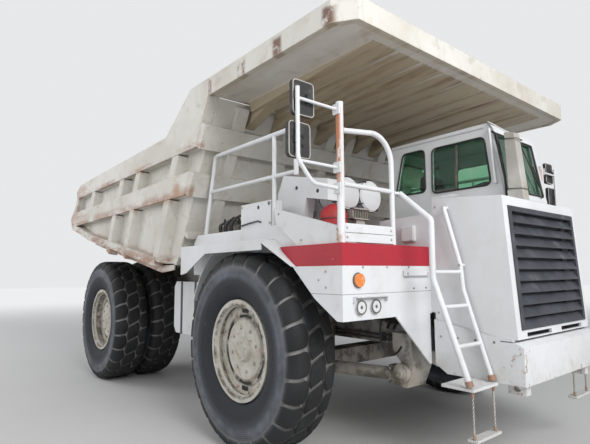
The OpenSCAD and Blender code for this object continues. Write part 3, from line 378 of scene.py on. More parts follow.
white_paint = worn_paint("white paint", *WHITES, 0.16, 0.25, 0.004, 0.3)
deck_paint = worn_paint("deck paint", *WHITES, 0.22, 0.28, 0.004, 0.25, deck_marks)
rail_paint = worn_paint("handrail paint", *WHITES, 0.3, 0.5, 0.004, 0.3, post_rust)
bumper_paint = worn_paint("bumper paint", *WHITES, 0.25, 0.6, 0.008, 0.35, bumper_rust)
body_paint = worn_paint("body paint", (0.6, 0.585, 0.545), (0.49, 0.465, 0.41), 0.6, 0.8, 0.009, 0.3, rust_and_tail_shade)
canopy_paint = worn_paint("canopy paint", (0.64, 0.625, 0.58), (0.53, 0.5, 0.44), 0.6, 0.8, 0.008, 0, canopy_marks)
# Grime with painted shade: this paint darkens towards the bottom through its hook
grimy_low_shaded_paint = worn_paint("grimy paint with low shade", (0.5, 0.49, 0.46), (0.33, 0.31, 0.28), 1, 0.9, 0.008, 0.7, grease_and_low_shade)
rusty = worn_paint("rusty fittings", (0.34, 0.17, 0.09), (0.2, 0.09, 0.05), 0.7, 1)
tyre_rubber = rubber_tyre()
wheel_paint = rim_paint()
steel = bare_steel()
grille_paint = dark_paint("grille paint", (0.03, 0.034, 0.042), (0.07, 0.078, 0.092))
black_rubber = dark_paint("black rubber", (0.012, 0.012, 0.013), (0.035, 0.034, 0.033))
# Black discs and patches that stand for holes and slots: painted shade of what lies inside the openings
opening_shade_black = dark_paint("painted shade in openings", (0.006, 0.006, 0.006), (0.015, 0.014, 0.012))
lamp_lens = lens_glass("lamp lens", (0.62, 0.65, 0.66), (0.75, 0.2, 0.02))
plastic = matte_plastic()
cloth = seat_cloth()

FINISH = {
    "cream_paint": white_paint,
    "body_paint": body_paint,
    "dark_paint": grille_paint,
    "bare_steel": steel,
    "tyre": tyre_rubber,
    "rim_paint": wheel_paint,
    "glass": window_glass(),
    "lamp_glass": lamp_lens,
    "red_lens": lens_glass("red lens", (0.35, 0.01, 0.012)),
    "red_paint": dark_paint("red paint", (0.42, 0.02, 0.025), (0.3, 0.03, 0.03)),
    "seat_fabric": cloth,
    "dark_plastic": plastic,
}
OWN_FINISH = dict.fromkeys((
    "frame", "cross_members", "deck_portals", "hoist_barrels", "front_axle", "knuckle_right", "knuckle_left",
    "steering_barrel_right", "steering_barrel_left", "intake_stack",
), grimy_low_shaded_paint)
OWN_FINISH |= {
    "deck_right": deck_paint, "deck_left": deck_paint, "body_canopy": canopy_paint, "handrails": rail_paint,
    "bumper": bumper_paint,
}
for part in frame["record"]["subparts"]:
    node = frame["nodes"][part["node"]]
    node.data.materials.clear()
    node.data.materials.append(OWN_FINISH.get(part["node"], FINISH[part["material_slot"]]))

# The slot of each added piece, by its material
SLOTS = {material.name: slot for slot, material in FINISH.items()}
SLOTS |= {"black rubber": "dark_plastic", "painted shade in openings": "dark_plastic", "rusty fittings": "bare_steel"}


# ---------------------------------------------------------------- pieces


def piece(name, shape, material, body="chassis", smooth=False):
    """A finished mesh as an object that rides on a body."""
    mesh = shape
    if isinstance(shape, bmesh.types.BMesh):
        mesh = bpy.data.meshes.new(name)
        bmesh.ops.recalc_face_normals(shape, faces=shape.faces)
        shape.to_mesh(mesh)
        shape.free()
    if smooth is not None:
        mesh.polygons.foreach_set("use_smooth", [smooth] * len(mesh.polygons))
    made = bpy.data.objects.new(name, mesh)
    scene.collection.objects.link(made)
    mesh.materials.clear()
    mesh.materials.append(material)
    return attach(made, body)


class Growth(Tree):
    """A geometry nodes tree that ends in a material, with its sizes as named inputs."""

    family = "GeometryNode"

    def __init__(self, name, **sizes):
        self.tree = bpy.data.node_groups.new(name, "GeometryNodeTree")
        face = self.tree.interface
        face.new_socket("Shape", in_out="INPUT", socket_type="NodeSocketGeometry")
        self.keys = {
            label: face.new_socket(label, in_out="INPUT", socket_type=f"NodeSocket{kind}").identifier
            for label, kind in dict(sizes, material="Material").items()
        }
        face.new_socket("Shape", in_out="OUTPUT", socket_type="NodeSocketGeometry")
        source = self.tree.nodes.new("NodeGroupInput")
        self.given = {socket.name: Wire(self, socket) for socket in source.outputs if socket.name}

    def end(self, shape, smooth):
        """Realize and paint the result."""
        real = self.add("RealizeInstances", {0: shape})
        if smooth:
            real = self.add("SetShadeSmooth", {"Geometry": real})
        painted = self.add("SetMaterial", {"Geometry": real, "Material": self.given["material"]})
        self.add("NodeGroupOutput", {0: painted})
        return self

    def grow(self, name, seed_mesh, material, body, slot=None, smooth=None, at=None, **sizes):
        """Run the tree on a mesh and keep the result as a plain piece. at moves it to its place."""
        seed_object = bpy.data.objects.new(name + "_seed", seed_mesh)
        scene.collection.objects.link(seed_object)
        modifier = seed_object.modifiers.new("growth", "NODES")
        modifier.node_group = self.tree
        for label, value in dict(sizes, material=material).items():
            modifier[self.keys[label]] = value
        bpy.context.view_layer.update()
        evaluated = seed_object.evaluated_get(bpy.context.evaluated_depsgraph_get())
        grown = bpy.data.meshes.new_from_object(evaluated)
        bpy.data.objects.remove(seed_object)
        if at:
            grown.transform(Matrix.Translation(at))
        return piece(name, grown, material, body, smooth)


def stud_tree():
    """A head on a washer at each point, standing along the direction named facing."""
    g = Growth("studs", radius="Float", height="Float", sides="Int")
    radius, height = g.given["radius"], g.given["height"]
    head = g.add("MeshCylinder", {"Vertices": g.given["sides"], "Radius": radius, "Depth": height})
    raised = g.add("ShaderNodeCombineXYZ", {"Z": height * 0.5})
    head = g.add("Transform", {"Geometry": head, "Translation": raised})
    washer = g.add("MeshCylinder", {"Vertices": 14, "Radius": radius * 1.5, "Depth": height * 0.4})
    stud = g.add("JoinGeometry", {0: [head, washer]})
    facing = g.add("InputNamedAttribute", {"Name": "facing"}, data_type="FLOAT_VECTOR")
    turned = g.add("FunctionNodeAlignRotationToVector", {"Vector": facing}, axis="Z")
    sockets = {"Points": g.given["Shape"], "Instance": stud, "Rotation": turned}
    return g.end(g.add("InstanceOnPoints", sockets), smooth=False)


def sweep_tree():
    """A round tube along each line of the mesh."""
    g = Growth("sweep", radius="Float", sides="Int")
    line = g.add("MeshToCurve", {"Mesh": g.given["Shape"]})
    sockets = {"Resolution": g.given["sides"], "Radius": g.given["radius"]}
    ring = g.add("CurvePrimitiveCircle", sockets)
    tube = g.add("CurveToMesh", {"Curve": line, "Profile Curve": ring, "Fill Caps": True})
    return g.end(tube, smooth=True)


def wheel_tree():
    """The given shape, repeated at even steps about the width's axis."""
    g = Growth("around a wheel", count="Int")
    seats = g.add("MeshLine", {"Count": g.given["count"], "Offset": (0, 0, 0)})
    index = g.add("InputIndex")
    angle = g.add("ShaderNodeCombineXYZ", {"Y": index * (2 * math.pi) / g.given["count"]})
    sockets = {"Points": seats, "Instance": g.given["Shape"], "Rotation": angle}
    return g.end(g.add("InstanceOnPoints", sockets), smooth=False)


STUDS, SWEEP, WHEEL = stud_tree(), sweep_tree(), wheel_tree()


def studs(name, places, material, radius=0.011, height=0.009, sides=6, body="chassis", slot=None):
    """Studs at (point, direction) places."""
    mesh = bpy.data.meshes.new(name)
    mesh.from_pydata([point for point, facing in places], [], [])
    facing = mesh.attributes.new("facing", "FLOAT_VECTOR", "POINT")
    facing.data.foreach_set("vector", [v for point, way in places for v in way])
    return STUDS.grow(name, mesh, material, body, slot, radius=radius, height=height, sides=sides)


def tubes(name, lines, radius, material, body="chassis", slot=None, closed=False, sides=0):
    """Tubes along open or closed lines of points."""
    sides = sides or (8 if closed else 12)
    points, edges = [], []
    for line in lines:
        first = len(points)
        points += line
        edges += [(i, i + 1) for i in range(first, len(points) - 1)]
        if closed:
            edges.append((len(points) - 1, first))
    mesh = bpy.data.meshes.new(name)
    mesh.from_pydata(points, edges, [])
    return SWEEP.grow(name, mesh, material, body, slot, smooth=True, radius=radius, sides=sides)


def eased(points, steps=8):
    """A smooth line through a few points."""
    ends = [points[0] * 2 - points[1], *points, points[-1] * 2 - points[-2]]
    line = []
    for a, b, c, d in zip(ends, ends[1:], ends[2:], ends[3:]):
        for i in range(steps):
            t = i / steps
            line.append(
                0.5 * (2 * b + (c - a) * t + (2 * a - 5 * b + 4 * c - d) * t * t + (3 * b - a - 3 * c + d) * t**3)
            )
    return line + [points[-1]]


def corners_eased(corners, radius, steps=5):
    """A closed outline with round corners."""
    line = []
    count = len(corners)
    for i in range(count):
        before, at, after = (corners[(i + k) % count] for k in (-1, 0, 1))
        u, v = (before - at).normalized(), (after - at).normalized()
        reach = radius / math.tan(u.angle(v) / 2)
        start, end = at + u * reach, at + v * reach
        for k in range(steps + 1):
            t = k / steps
            line.append(start * (1 - t) ** 2 + at * 2 * t * (1 - t) + end * t**2)
    return line


def circle(centre, radius, axis, count=28):
    """A closed round line about an axis through centre."""
    turned = Vector(axis).to_track_quat("Z", "Y")
    return [centre + turned @ Vector((*polar(radius, t), 0)) for t in turns(count)]


def hose(name, points, diameter):
    """A hose that hangs between two fittings."""
    line = eased(points)
    made = tubes(name, [line], diameter / 2, black_rubber)


def band(bm, lower, upper):
    """Faces between two closed rings of points."""
    for i in range(len(lower)):
        bm.faces.new((upper[i - 1], lower[i - 1], lower[i], upper[i]))


def prism(bm, low, high):
    """A closed form between two outlines."""
    low, high = ([bm.verts.new(p) for p in outline] for outline in (low, high))
    bm.faces.new(low)
    bm.faces.new(high)
    band(bm, low, high)


def slab(bm, outline, thickness):
    """A plate from an outline of points, given thickness along its own normal."""
    normal = (outline[1] - outline[0]).cross(outline[2] - outline[1]).normalized() * thickness
    prism(bm, outline, [p + normal for p in outline])


def slabs(name, outlines, thickness, material, body="chassis"):
    bm = bmesh.new()
    for outline in outlines:
        slab(bm, outline, thickness)
    return piece(name, bm, material, body)


def boxes(name, items, material, bevel=0.003):
    """Blocks with rounded edges, each from two opposite corners, in one piece."""
    bm = bmesh.new()
    for corner, other in items:
        corner, other = A(*corner), A(*other)
        size = Matrix.Diagonal((*(abs(v) for v in other - corner), 1))
        made = bmesh.ops.create_cube(bm, size=1, matrix=Matrix.Translation((corner + other) / 2) @ size)
        edges = list({edge for vert in made["verts"] for edge in vert.link_edges})
        bmesh.ops.bevel(bm, geom=edges, offset=bevel, segments=2, affect="EDGES", clamp_overlap=True)
    return piece(name, bm, material)


def lathe(bm, centre, profile, axis="y", segments=48):
    """A profile of (radius, along) turned about an axis through centre. Its rings of points are returned."""
    grid = []
    for radius, along in profile:
        grid.append([])
        for angle in turns(segments):
            u, v = polar(radius, angle)
            offset = {"x": (along, u, v), "y": (u, along, v), "z": (u, v, along)}[axis]
            grid[-1].append(bm.verts.new(centre + Vector(offset)))
    for lower, upper in zip(grid, grid[1:]):
        band(bm, lower, upper)
    return grid


# Tyres: a turned carcass, and 25 steps of two shoulder blocks and one slanted centre block

LUGS = 25
# The tread from the middle to the shoulder: length along its curve, place across, radius, depth of the grooves
TREAD = [
    (0, 0, 0.93, 0.04), (0.15, 0.15, 0.929, 0.04), (0.19, 0.1885, 0.9215, 0.038), (0.215, 0.209, 0.907, 0.034),
    (0.245, 0.229, 0.883, 0.028), (0.275, 0.2405, 0.854, 0.02), (0.305, 0.2465, 0.824, 0.012),
    (0.335, 0.2485, 0.795, 0.004),
]
# The side from the bead to the shoulder: place across, radius
SIDE = [
    (0.167, 0.452), (0.169, 0.48), (0.194, 0.5), (0.222, 0.55), (0.24, 0.61), (0.2455, 0.64), (0.2455, 0.652),
    (0.2495, 0.658), (0.2495, 0.695), (0.247, 0.7), (0.247, 0.738), (0.249, 0.742), (0.249, 0.77),
]


def on_tread(u, sink):
    """A point of the tread's section at a length u from its middle, sunk by a share of the groove's depth."""
    far = abs(u)
    for (u0, s0, r0, d0), (u1, s1, r1, d1) in zip(TREAD, TREAD[1:]):
        if far <= u1 + 1e-9:
            break
    t = (far - u0) / (u1 - u0)
    along = Vector((s1 - s0, r1 - r0)).normalized()
    depth = (d0 + (d1 - d0) * t) * sink
    s = s0 + (s1 - s0) * t + along.y * depth
    r = r0 + (r1 - r0) * t - along.x * depth
    return math.copysign(s, u) if u else 0, r


def tread_block(bm, rows, layers):
    """A block from rows of (u, first, last), with places round the wheel in steps of one pitch."""
    hollow, radius = layers
    columns = [0, 0.09, 0.5, 0.91, 1]
    grid = []

    def vert(u, a, sink, shade):
        s, r = on_tread(u, sink)
        x, z = polar(r, -2 * math.pi * a / LUGS)
        made = bm.verts.new((x, s, z))
        made[hollow], made[radius] = shade, r
        return made

    for j, (u, first, last) in enumerate(rows):
        edge_row = j in (0, len(rows) - 1)
        grid.append([
            vert(u, first + (last - first) * c, 0.17 if edge_row or i in (0, 4) else 0, 0)
            for i, c in enumerate(columns)
        ])
    for upper, lower in zip(grid, grid[1:]):
        for i in range(4):
            bm.faces.new((upper[i], upper[i + 1], lower[i + 1], lower[i]))
    border = [(0, i) for i in range(5)] + [(j, 4) for j in range(1, len(rows))]
    border += [(len(rows) - 1, i) for i in range(3, -1, -1)] + [(j, 0) for j in range(len(rows) - 2, 0, -1)]
    middle_u = sum(row[0] for row in rows) / len(rows)
    base = []
    for j, i in border:
        u, first, last = rows[j]
        a = first + (last - first) * columns[i] + (columns[i] - 0.5) * 0.03
        wider = u + (0.004 if u > middle_u else -0.004) * (j in (0, len(rows) - 1))
        base.append(vert(max(-0.335, min(0.335, wider)), a, 1.06, 1))
    band(bm, base, [grid[j][i] for j, i in border])


def tread_mesh():
    """One step of the tread, drawn about the wheel's axis at the origin."""
    bm = bmesh.new()
    layers = bm.verts.layers.float.new("hollow"), bm.verts.layers.float.new("radius")
    gap, knee, slant, lean = 0.075, 0.105, 0.6, 0.16

    def shoulder(shift, sign):
        rows = []
        for u in (0.33, 0.305, 0.27, 0.235, 0.2, 0.16, 0.125):
            leant = lean * (0.33 - u) / 0.225 * sign
            squeeze = 0.05 if u > 0.32 else 0
            rows.append((sign * u, shift + gap + squeeze + leant, shift + 1 - gap - squeeze + leant))
        for u, share in ((knee + 0.005, 0.06), (0.094, 0.26), (0.084, 0.4)):
            rows.append((sign * u, shift + gap + lean * sign + share, shift + 1 - gap + lean * sign - share))
        return rows

    tread_block(bm, shoulder(0, 1), layers)
    tread_block(bm, shoulder(0.6, -1), layers)
    half = [(0.086, 0.36), (0.078, 0.22), (0.066, 0.085), (0.035, 0.085)]
    centre = []
    for u, share in [*half, (0, 0.085), *((-u, share) for u, share in half[::-1])]:
        first = 0.5 + lean + (0.07 - u) / 0.14 * (slant - 2 * lean)
        shift = 0.5 * max(0, (abs(u) - 0.07) / 0.035) * (1 if u > 0 else -1)
        centre.append((u, first + share + shift * 0.2, first + 1 - share + shift * 0.2))
    tread_block(bm, centre, layers)
    mesh = bpy.data.meshes.new("tread step")
    bm.to_mesh(mesh)
    bm.free()
    return mesh


def carcass(bm, centre):
    """The tyre's body from bead to bead, under its tread."""
    hollow, radius = bm.verts.layers.float.new("hollow"), bm.verts.layers.float.new("radius")
    half = [(s, r, 0) for s, r in SIDE]
    for u in (0.335, 0.305, 0.275, 0.245, 0.215, 0.19, 0.15, 0.075):
        half.append((*on_tread(u, 1), 1 if u < 0.3 else 0.4))
    rows = half + [(0, on_tread(0, 1)[1], 1)] + [(-s, r, h) for s, r, h in reversed(half)]
    grid = lathe(bm, centre, [(r, s) for s, r, h in rows], segments=100)
    for ring, (s, r, h) in zip(grid, rows):
        for vert in ring:
            vert[hollow], vert[radius] = h, r
    band(bm, grid[-1], grid[0])


def shade_by_angle(obj, degrees):
    """Smooth shading that stops at sharp edges, kept in the mesh itself."""
    obj.data.shade_smooth()
    obj.data.set_sharp_from_angle(angle=math.radians(degrees))


def tyre(name, centre, turn, body, node=None):
    bm = bmesh.new()
    carcass(bm, centre)
    walls = piece(name, bm, tyre_rubber, body)
    shade_by_angle(walls, 40)
    step = tread_mesh()
    step.transform(Matrix.Rotation(turn, 4, "Y"))
    shade_by_angle(WHEEL.grow(name + "_tread", step, tyre_rubber, body, at=centre, count=LUGS), 55)
    if node:
        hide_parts(node)


# Each tyre is turned by its own small angle, so that the treads don't line up
FRONT_Y, OUTER_Y, INNER_Y = 1.7, 1.68, 1.12
for side, s in SIDES:
    tyre(f"front_tyre_{side}_walls", A(0, s * FRONT_Y, AXLE_Z), 0.05 + 0.03 * s, f"{side}_front_wheel",
         f"front_tyre_{side}")
    for place, y, node in (("outer", OUTER_Y, f"rear_tyres_{side}"), ("inner", INNER_Y, None)):
        centre = A(REAR_AXLE_X - FRONT_AXLE_X, s * y, AXLE_Z)
        tyre(f"rear_tyre_{side}_{place}", centre, 0.11 * y * s, f"{side}_rear_wheels", node)


# ---------------------------------------------------------------- details

# Windows: rubber seals, the sliding pane's frame and the wiper
REAR_LIGHT = [(0.445, 2.535), (0.85, 2.535), (0.85, 3.01), (0.56, 3.01)]
SLIDE_LIGHT = [(0.935, 2.505), (1.6, 2.505), (1.548, 2.995), (0.948, 2.995)]
DOOR_LIGHT = [(0.67, 2.46), (1.27, 2.46), (1.27, 2.95), (0.67, 2.95)]


def loop_at(corners, y):
    """A closed outline of places ahead and up, with round corners, at one place across."""
    return corners_eased([A(x, y, z) for x, z in corners], 0.06)


def shield_x(z):
    """How far ahead the windscreen is at a height."""
    return 1.727 - 0.16762 * (z - 2.392)


shield = [A(shield_x(z) + 0.002, y, z) for y, z in ((0.07, 2.45), (0.89, 2.45), (0.89, 3.035), (0.07, 3.035))]
back_window = [A(0.378, y, z) for y, z in ((0.15, 2.5), (0.81, 2.5), (0.81, 2.96), (0.15, 2.96))]
tubes("window_seals", [
    loop_at(REAR_LIGHT, -0.002), loop_at(SLIDE_LIGHT, -0.002), corners_eased(shield, 0.02),
    corners_eased(back_window, 0.02),
], 0.01, black_rubber, closed=True)
tubes("door_window_seal", [loop_at(DOOR_LIGHT, 0.962)], 0.01, black_rubber, "cab_door_leaf", closed=True)
slabs("sliding_pane_frame", [[A(x, 0.008, z) for x, z in outline] for outline in (
    [(1.226, 2.982), (1.25, 2.982), (1.225, 2.516), (1.201, 2.516)],
    [(0.95, 2.53), (1.21, 2.53), (1.21, 2.514), (0.95, 2.514)],
)], 0.01, steel)
studs("window_latches", [(A(1.001, 0.012, 2.775), (0, -1, 0)), (A(0.985, 0.012, 2.6), (0, -1, 0))], black_rubber,
      0.013, 0.016, 16)
tubes("wiper", [
    [A(1.735, 0.8, 2.425), A(1.758, 0.79, 2.45), A(1.706, 0.715, 2.765)],
    [A(shield_x(2.5) + 0.013, 0.86, 2.5), A(shield_x(3.03) + 0.013, 0.573, 3.03)],
], 0.006, black_rubber, sides=8)
tubes("cab_grab_tube", [eased([
    A(1.617, -0.001, 3.052), A(1.622, -0.03, 3.045), A(1.628, -0.036, 3.01), A(1.655, -0.036, 2.56),
    A(1.66, -0.03, 2.52), A(1.66, -0.001, 2.512),
])], 0.012, white_paint)
tubes("stack_hose", [eased([
    A(1.64, -0.004, 3.03), A(1.69, -0.016, 2.95), A(1.745, -0.022, 2.6), A(1.775, -0.06, 2.36),
])], 0.011, black_rubber)
tubes("stack_clamps", [
    [A(x0, -0.104, z0), A(x1, -0.104, z1), A(x1, 0.024, z1), A(x0, 0.024, z0)]
    for x0, z0, x1, z1 in ((1.806, 2.9, 1.912, 2.885), (1.812, 2.42, 1.944, 2.41))
], 0.005, steel, closed=True)
slabs("roof_bracket", [[A(1.6, -0.02, 3.134), A(1.6, 0.06, 3.134), A(1.795, 0.06, 2.975), A(1.795, -0.02, 2.975)]],
      -0.008, white_paint)
slabs("cowl_corner", [[A(1.42, -0.715, 2.322), A(1.66, -0.7, 2.312), A(1.53, -0.56, 2.36)]], 0.008, white_paint)
boxes("roof_gutters", [((0.4, y, 3.085), (1.56, y + 0.01, 3.097)) for y in (-0.01, 0.96)], white_paint)

# Front boxes: brows over the lamps, lamp rings, grab plates, bolts. Bolts are given for the left side
FRONT_BOLTS = [
    (1.361, 1.62, 1.698), (1.361, 1.33, 1.698), (1.361, 1.04, 1.698), (1.388, 0.8, 1.644), (1.388, 1.09, 1.644),
    (1.347, 1.775, 1.926), (1.347, 1.775, 2), (1.347, 1.245, 1.926), (1.347, 1.245, 2),
]
SIDE_BOLTS = [
    (1.181, 1.851, 1.664), (1.181, 1.851, 1.541), (1.1, 1.851, 1.6), (1.29, 1.824, 1.915), (1.29, 1.824, 1.99),
    (0.86, 1.824, 1.93), (0.55, 1.824, 2.18), (1.434, 0.725, 2.237), (1.434, 0.725, 1.3), (1.553, 0.795, 2.214),
    (1.69, 0.795, 1.711), (1.46, 0.75, 1.1), (1.62, 0.75, 1.1), (1.78, 0.75, 1.1), (1.94, 0.75, 1.1),
]
brows, plates, rings, lamp_cores, bolts, holes = [], [], [], [], [], []
for side, s in SIDES:
    brows.append(((1.358, s * 1.365, 1.462), (1.408, s * 1.74, 1.472)))
    brows += [((1.358, s * y - 0.004, 1.425), (1.392, s * y + 0.004, 1.47)) for y in (1.367, 1.738)]
    plates.append(((1.358, s * 0.766, 1.618), (1.388, s * 1.126, 1.67)))
    lamps = [A(1.383, s * y, 1.39) for y in (1.497, 1.668)]
    rings += [circle(lamp, 0.051, FRONT) for lamp in lamps] + [circle(A(1.366, s * 1.682, 1.596), 0.054, FRONT)]
    lamp_cores += [(lamp, FRONT) for lamp in lamps]
    holes += [(A(1.3605, s * y, 1.517), FRONT) for y in (0.977, 0.801)]
    bolts += [(A(x, s * y, z), FRONT) for x, y, z in FRONT_BOLTS]
    bolts += [(A(x, s * y, z), (0, s, 0)) for x, y, z in SIDE_BOLTS]
boxes("lamp_brows", brows, white_paint)
boxes("grab_plates", plates, white_paint, 0.008)
tubes("lamp_rings", rings, 0.006, steel, closed=True)
studs("lamp_cores", lamp_cores, steel, 0.009, 0.004, 14)
studs("front_bolts", bolts, grimy_low_shaded_paint, 0.007, 0.006)
# Painted shade: the two holes are black discs
studs("front_holes", holes, opening_shade_black, 0.009, 0.002, 14)

# Mirrors: pale rims, bosses and the glass behind
rims, bosses, glasses = [], [], bmesh.new()
for side, s in SIDES:
    for y, z in ((2.205, 2.488), (2.165, 2.812)):
        y0, y1, z0, z1 = s * y - 0.1005, s * y + 0.1005, z + 0.005, z + 0.267
        rims.append(corners_eased([A(1.297, y0, z0), A(1.297, y1, z0), A(1.297, y1, z1), A(1.297, y0, z1)], 0.034))
        bosses += [(A(1.298, s * y + 0.03, z + h), FRONT) for h in (0.1, 0.17)]
        y0, y1, z0, z1 = y0 + 0.012, y1 - 0.012, z0 + 0.012, z1 - 0.012
        inset = [A(1.262, y0, z0), A(1.262, y1, z0), A(1.262, y1, z1), A(1.262, y0, z1)]
        slab(glasses, corners_eased(inset, 0.03)[::-1], 0.003)
tubes("mirror_rims", rims, 0.0045, grimy_low_shaded_paint, slot="bare_steel", closed=True)
studs("mirror_bosses", bosses, black_rubber, 0.014, 0.012, 14)
piece("mirror_glasses", glasses, steel)

# Air cleaners: domed caps held by clips, bands round the drums
caps, bands, clips = bmesh.new(), [], []
for y in (-1.195, -0.88):
    centre = A(0.81, y, 2.4)
    lathe(caps, centre, [(0.149, -0.05), (0.158, -0.048), (0.158, -0.008), (0.15, 0.006), (0.142, 0.006),
                         (0.138, 0.014), (0.095, 0.024), (0.045, 0.029), (0.001, 0.03)], "x")
    bands += [circle(A(x, y, 2.4), 0.151, FRONT, 40) for x in (0.753, 0.36, 0.56)]
    bands.append(circle(A(0.806, y, 2.4), 0.1555, FRONT, 40))
    for turn in (0.5, 2.1, 3.7, 5.3):
        places = (-0.075, 0.163), (-0.02, 0.163), (0.012, 0.163), (0.016, 0.145)
        clips.append([centre + Vector((x, *polar(r, turn))) for x, r in places])
piece("air_cleaner_caps", caps, white_paint)
tubes("air_cleaner_bands", bands, 0.004, black_rubber, closed=True)
tubes("air_cleaner_clips", clips, 0.006, grille_paint, slot="dark_plastic", sides=8)
fin_places = [-1.165 + 0.024 * i for i in range(9)]
tubes("fins", [[A(0.86, y, 2.165), A(0.86, y, 2.245)] for y in fin_places], 0.005, steel, sides=8)
boxes("fin_case", [
    ((0.8, -1.18, 2.15), (0.853, -0.965, 2.262)), ((0.8, -1.18, 2.245), (0.872, -0.965, 2.262)),
    ((0.8, -1.18, 2.15), (0.872, -0.965, 2.165)), ((0.8, -1.13, 2.06), (0.85, -1.01, 2.16)),
], grimy_low_shaded_paint)
tubes("canister_bands", [circle(A(0.8, -1.38, z), 0.131, UP, 40) for z in (2.045, 2.14)], 0.005, grille_paint,
      slot="dark_plastic", closed=True)
tubes("cleaner_pipe", [
    eased([A(0.25, -1.195, 2.4), A(0.14, -1.15, 2.4), A(0.05, -0.98, 2.36), A(0.03, -0.8, 2.2), A(0.05, -0.66, 2.06),
           A(0.16, -0.5, 1.9), A(0.3, -0.42, 1.74)]),
    eased([A(0.25, -0.88, 2.4), A(0.16, -0.86, 2.39), A(0.09, -0.8, 2.34), A(0.05, -0.72, 2.2)]),
], 0.05, black_rubber, sides=16)

# Deck boxes, their holes, the hose bundle behind them and the box on the engine's cover
# Painted shade: the holes in the boxes are black discs
studs("cabinet_holes", [(A(x, y, z), (0, -1, 0)) for x, y, z in (
    (0.418, -1.5, 2.473), (0.718, -1.5, 2.404), (0.189, -1.79, 2.284), (0.36, -1.79, 2.307),
)], opening_shade_black, 0.013, 0.002, 14)
tubes("box_handle", [[A(-0.09, -1.797, 2.128), A(0.06, -1.806, 2.14), A(0.2, -1.806, 2.15), A(0.24, -1.797, 2.135)]],
      0.007, black_rubber)
studs("box_bolts", [(A(x, y, z), (0, -1, 0)) for x, y, z in (
    (-0.09, -1.79, 2.12), (-0.09, -1.79, 2.31), (0.375, -1.79, 2.12), (0.375, -1.79, 2.31), (1.09, -0.765, 1.95),
    (1.19, -0.765, 1.95),
)], grimy_low_shaded_paint, 0.008)
bundle = []
for i in range(6):
    x0, x1 = -0.3 - 0.065 * i, -0.36 - 0.055 * i
    y0, y1 = -1.6 - 0.02 * (i % 3), -1.72 + 0.015 * (i % 2)
    bundle.append(eased([
        A(x0, y0, 2.095), A(x0 - 0.01, y0 - 0.02, 2.2 + 0.02 * (i % 3)),
        A((x0 + x1) / 2, (y0 + y1) / 2, 2.265 - 0.012 * i), A(x1 - 0.03, y1, 2.18), A(x1 - 0.05, y1 + 0.01, 2.095),
    ]))
tubes("valve_hoses", bundle, 0.012, black_rubber)
boxes("valve_block", [
    ((-0.66, -1.69, 2.09), (-0.32, -1.58, 2.17)), ((-0.58, -1.68, 2.16), (-0.52, -1.6, 2.23)),
    ((-0.45, -1.68, 2.16), (-0.39, -1.6, 2.225)),
], steel, 0.006)
boxes("cover_box", [((1.077, -0.765, 1.938), (1.221, -0.704, 2.088))], white_paint, 0.008)

# Ladders: clamps, grips on the steps and the strands of the ropes
feet, clamps, grips, strands = [], [], [], []
for side, s in SIDES:
    feet += [[A(1.915, s * 1.11, 0.848), A(1.929, s * 1.11, 0.808)]]
    feet += [[A(1.912, s * 0.775, 0.848), A(1.924, s * 0.775, 0.808)]]
    for y in (1.095, 0.79):
        clamps += [[A(1.935, s * y, z0), A(1.935, s * y, z1)] for z0, z1 in ((0.735, 0.775), (0.437, 0.47))]
        for k in range(3):
            strands.append([
                A(1.935, s * y, 0.436 + 0.0095 * i) + Vector((*polar(0.0055, 2.1 * k + 0.7 * i), 0)) for i in range(36)
            ])
    grips += [
        (A(1.705 + 0.03 * i, s * (0.78 + 0.033 * j - 0.012 * (i % 2)), 0.797), UP) for i in range(9) for j in range(11)
    ]
    grips += [(A(1.9 + 0.025 * i, s * (0.785 + 0.031 * j), 0.435), UP) for i in range(3) for j in range(10)]
tubes("ladder_clamps", feet, 0.029, rusty)
tubes("rope_clamps", clamps, 0.012, rusty)
tubes("rope_strands", strands, 0.004, grimy_low_shaded_paint, slot="bare_steel", sides=6)
studs("step_grips", grips, white_paint, 0.0055, 0.003, 4)

# Body: a strip along the floor's edge; canopy: a line of weld marks
EDGE = [(-1.42, 1.7), (-1.42, 1.775), (-1.77, 1.78), (-4.5, 2.257), (-4.5, 2.16), (-1.77, 1.67)]
slabs("floor_edges", [[A(x, -1.885, z) for x, z in EDGE[::-1]], [A(x, 1.885, z) for x, z in EDGE]], 0.018,
      body_paint, "dump_body")
studs("canopy_marks", [(A(-0.09 + 0.08 * i, s * 1.48, 3.547), DOWN) for i in range(15) for s in (-1, 1)], rusty,
      0.011, 0.004, body="dump_body", slot="body_paint")


# Wheels: slots, nuts, rings and hub caps
def arc_plate(bm, centre, out, r0, r1, turn, half_angle, steps=8):
    """A thin curved patch with drawn-in ends on a wheel's face. Angles in degrees."""
    ring = []
    for side_r, order in ((r0, 1), (r1, -1)):
        for i in range(steps + 1):
            t = (2 * i / steps - 1) * order
            ends = 1 - 0.45 * max(0, abs(t) - 0.8) / 0.2
            r = (r0 + r1) / 2 + (side_r - (r0 + r1) / 2) * ends
            x, z = polar(r, math.radians(turn + half_angle * t))
            ring.append(centre + Vector((x, 0, z)))
    prism(bm, ring, [p + Vector((0, out * 0.003, 0)) for p in ring])


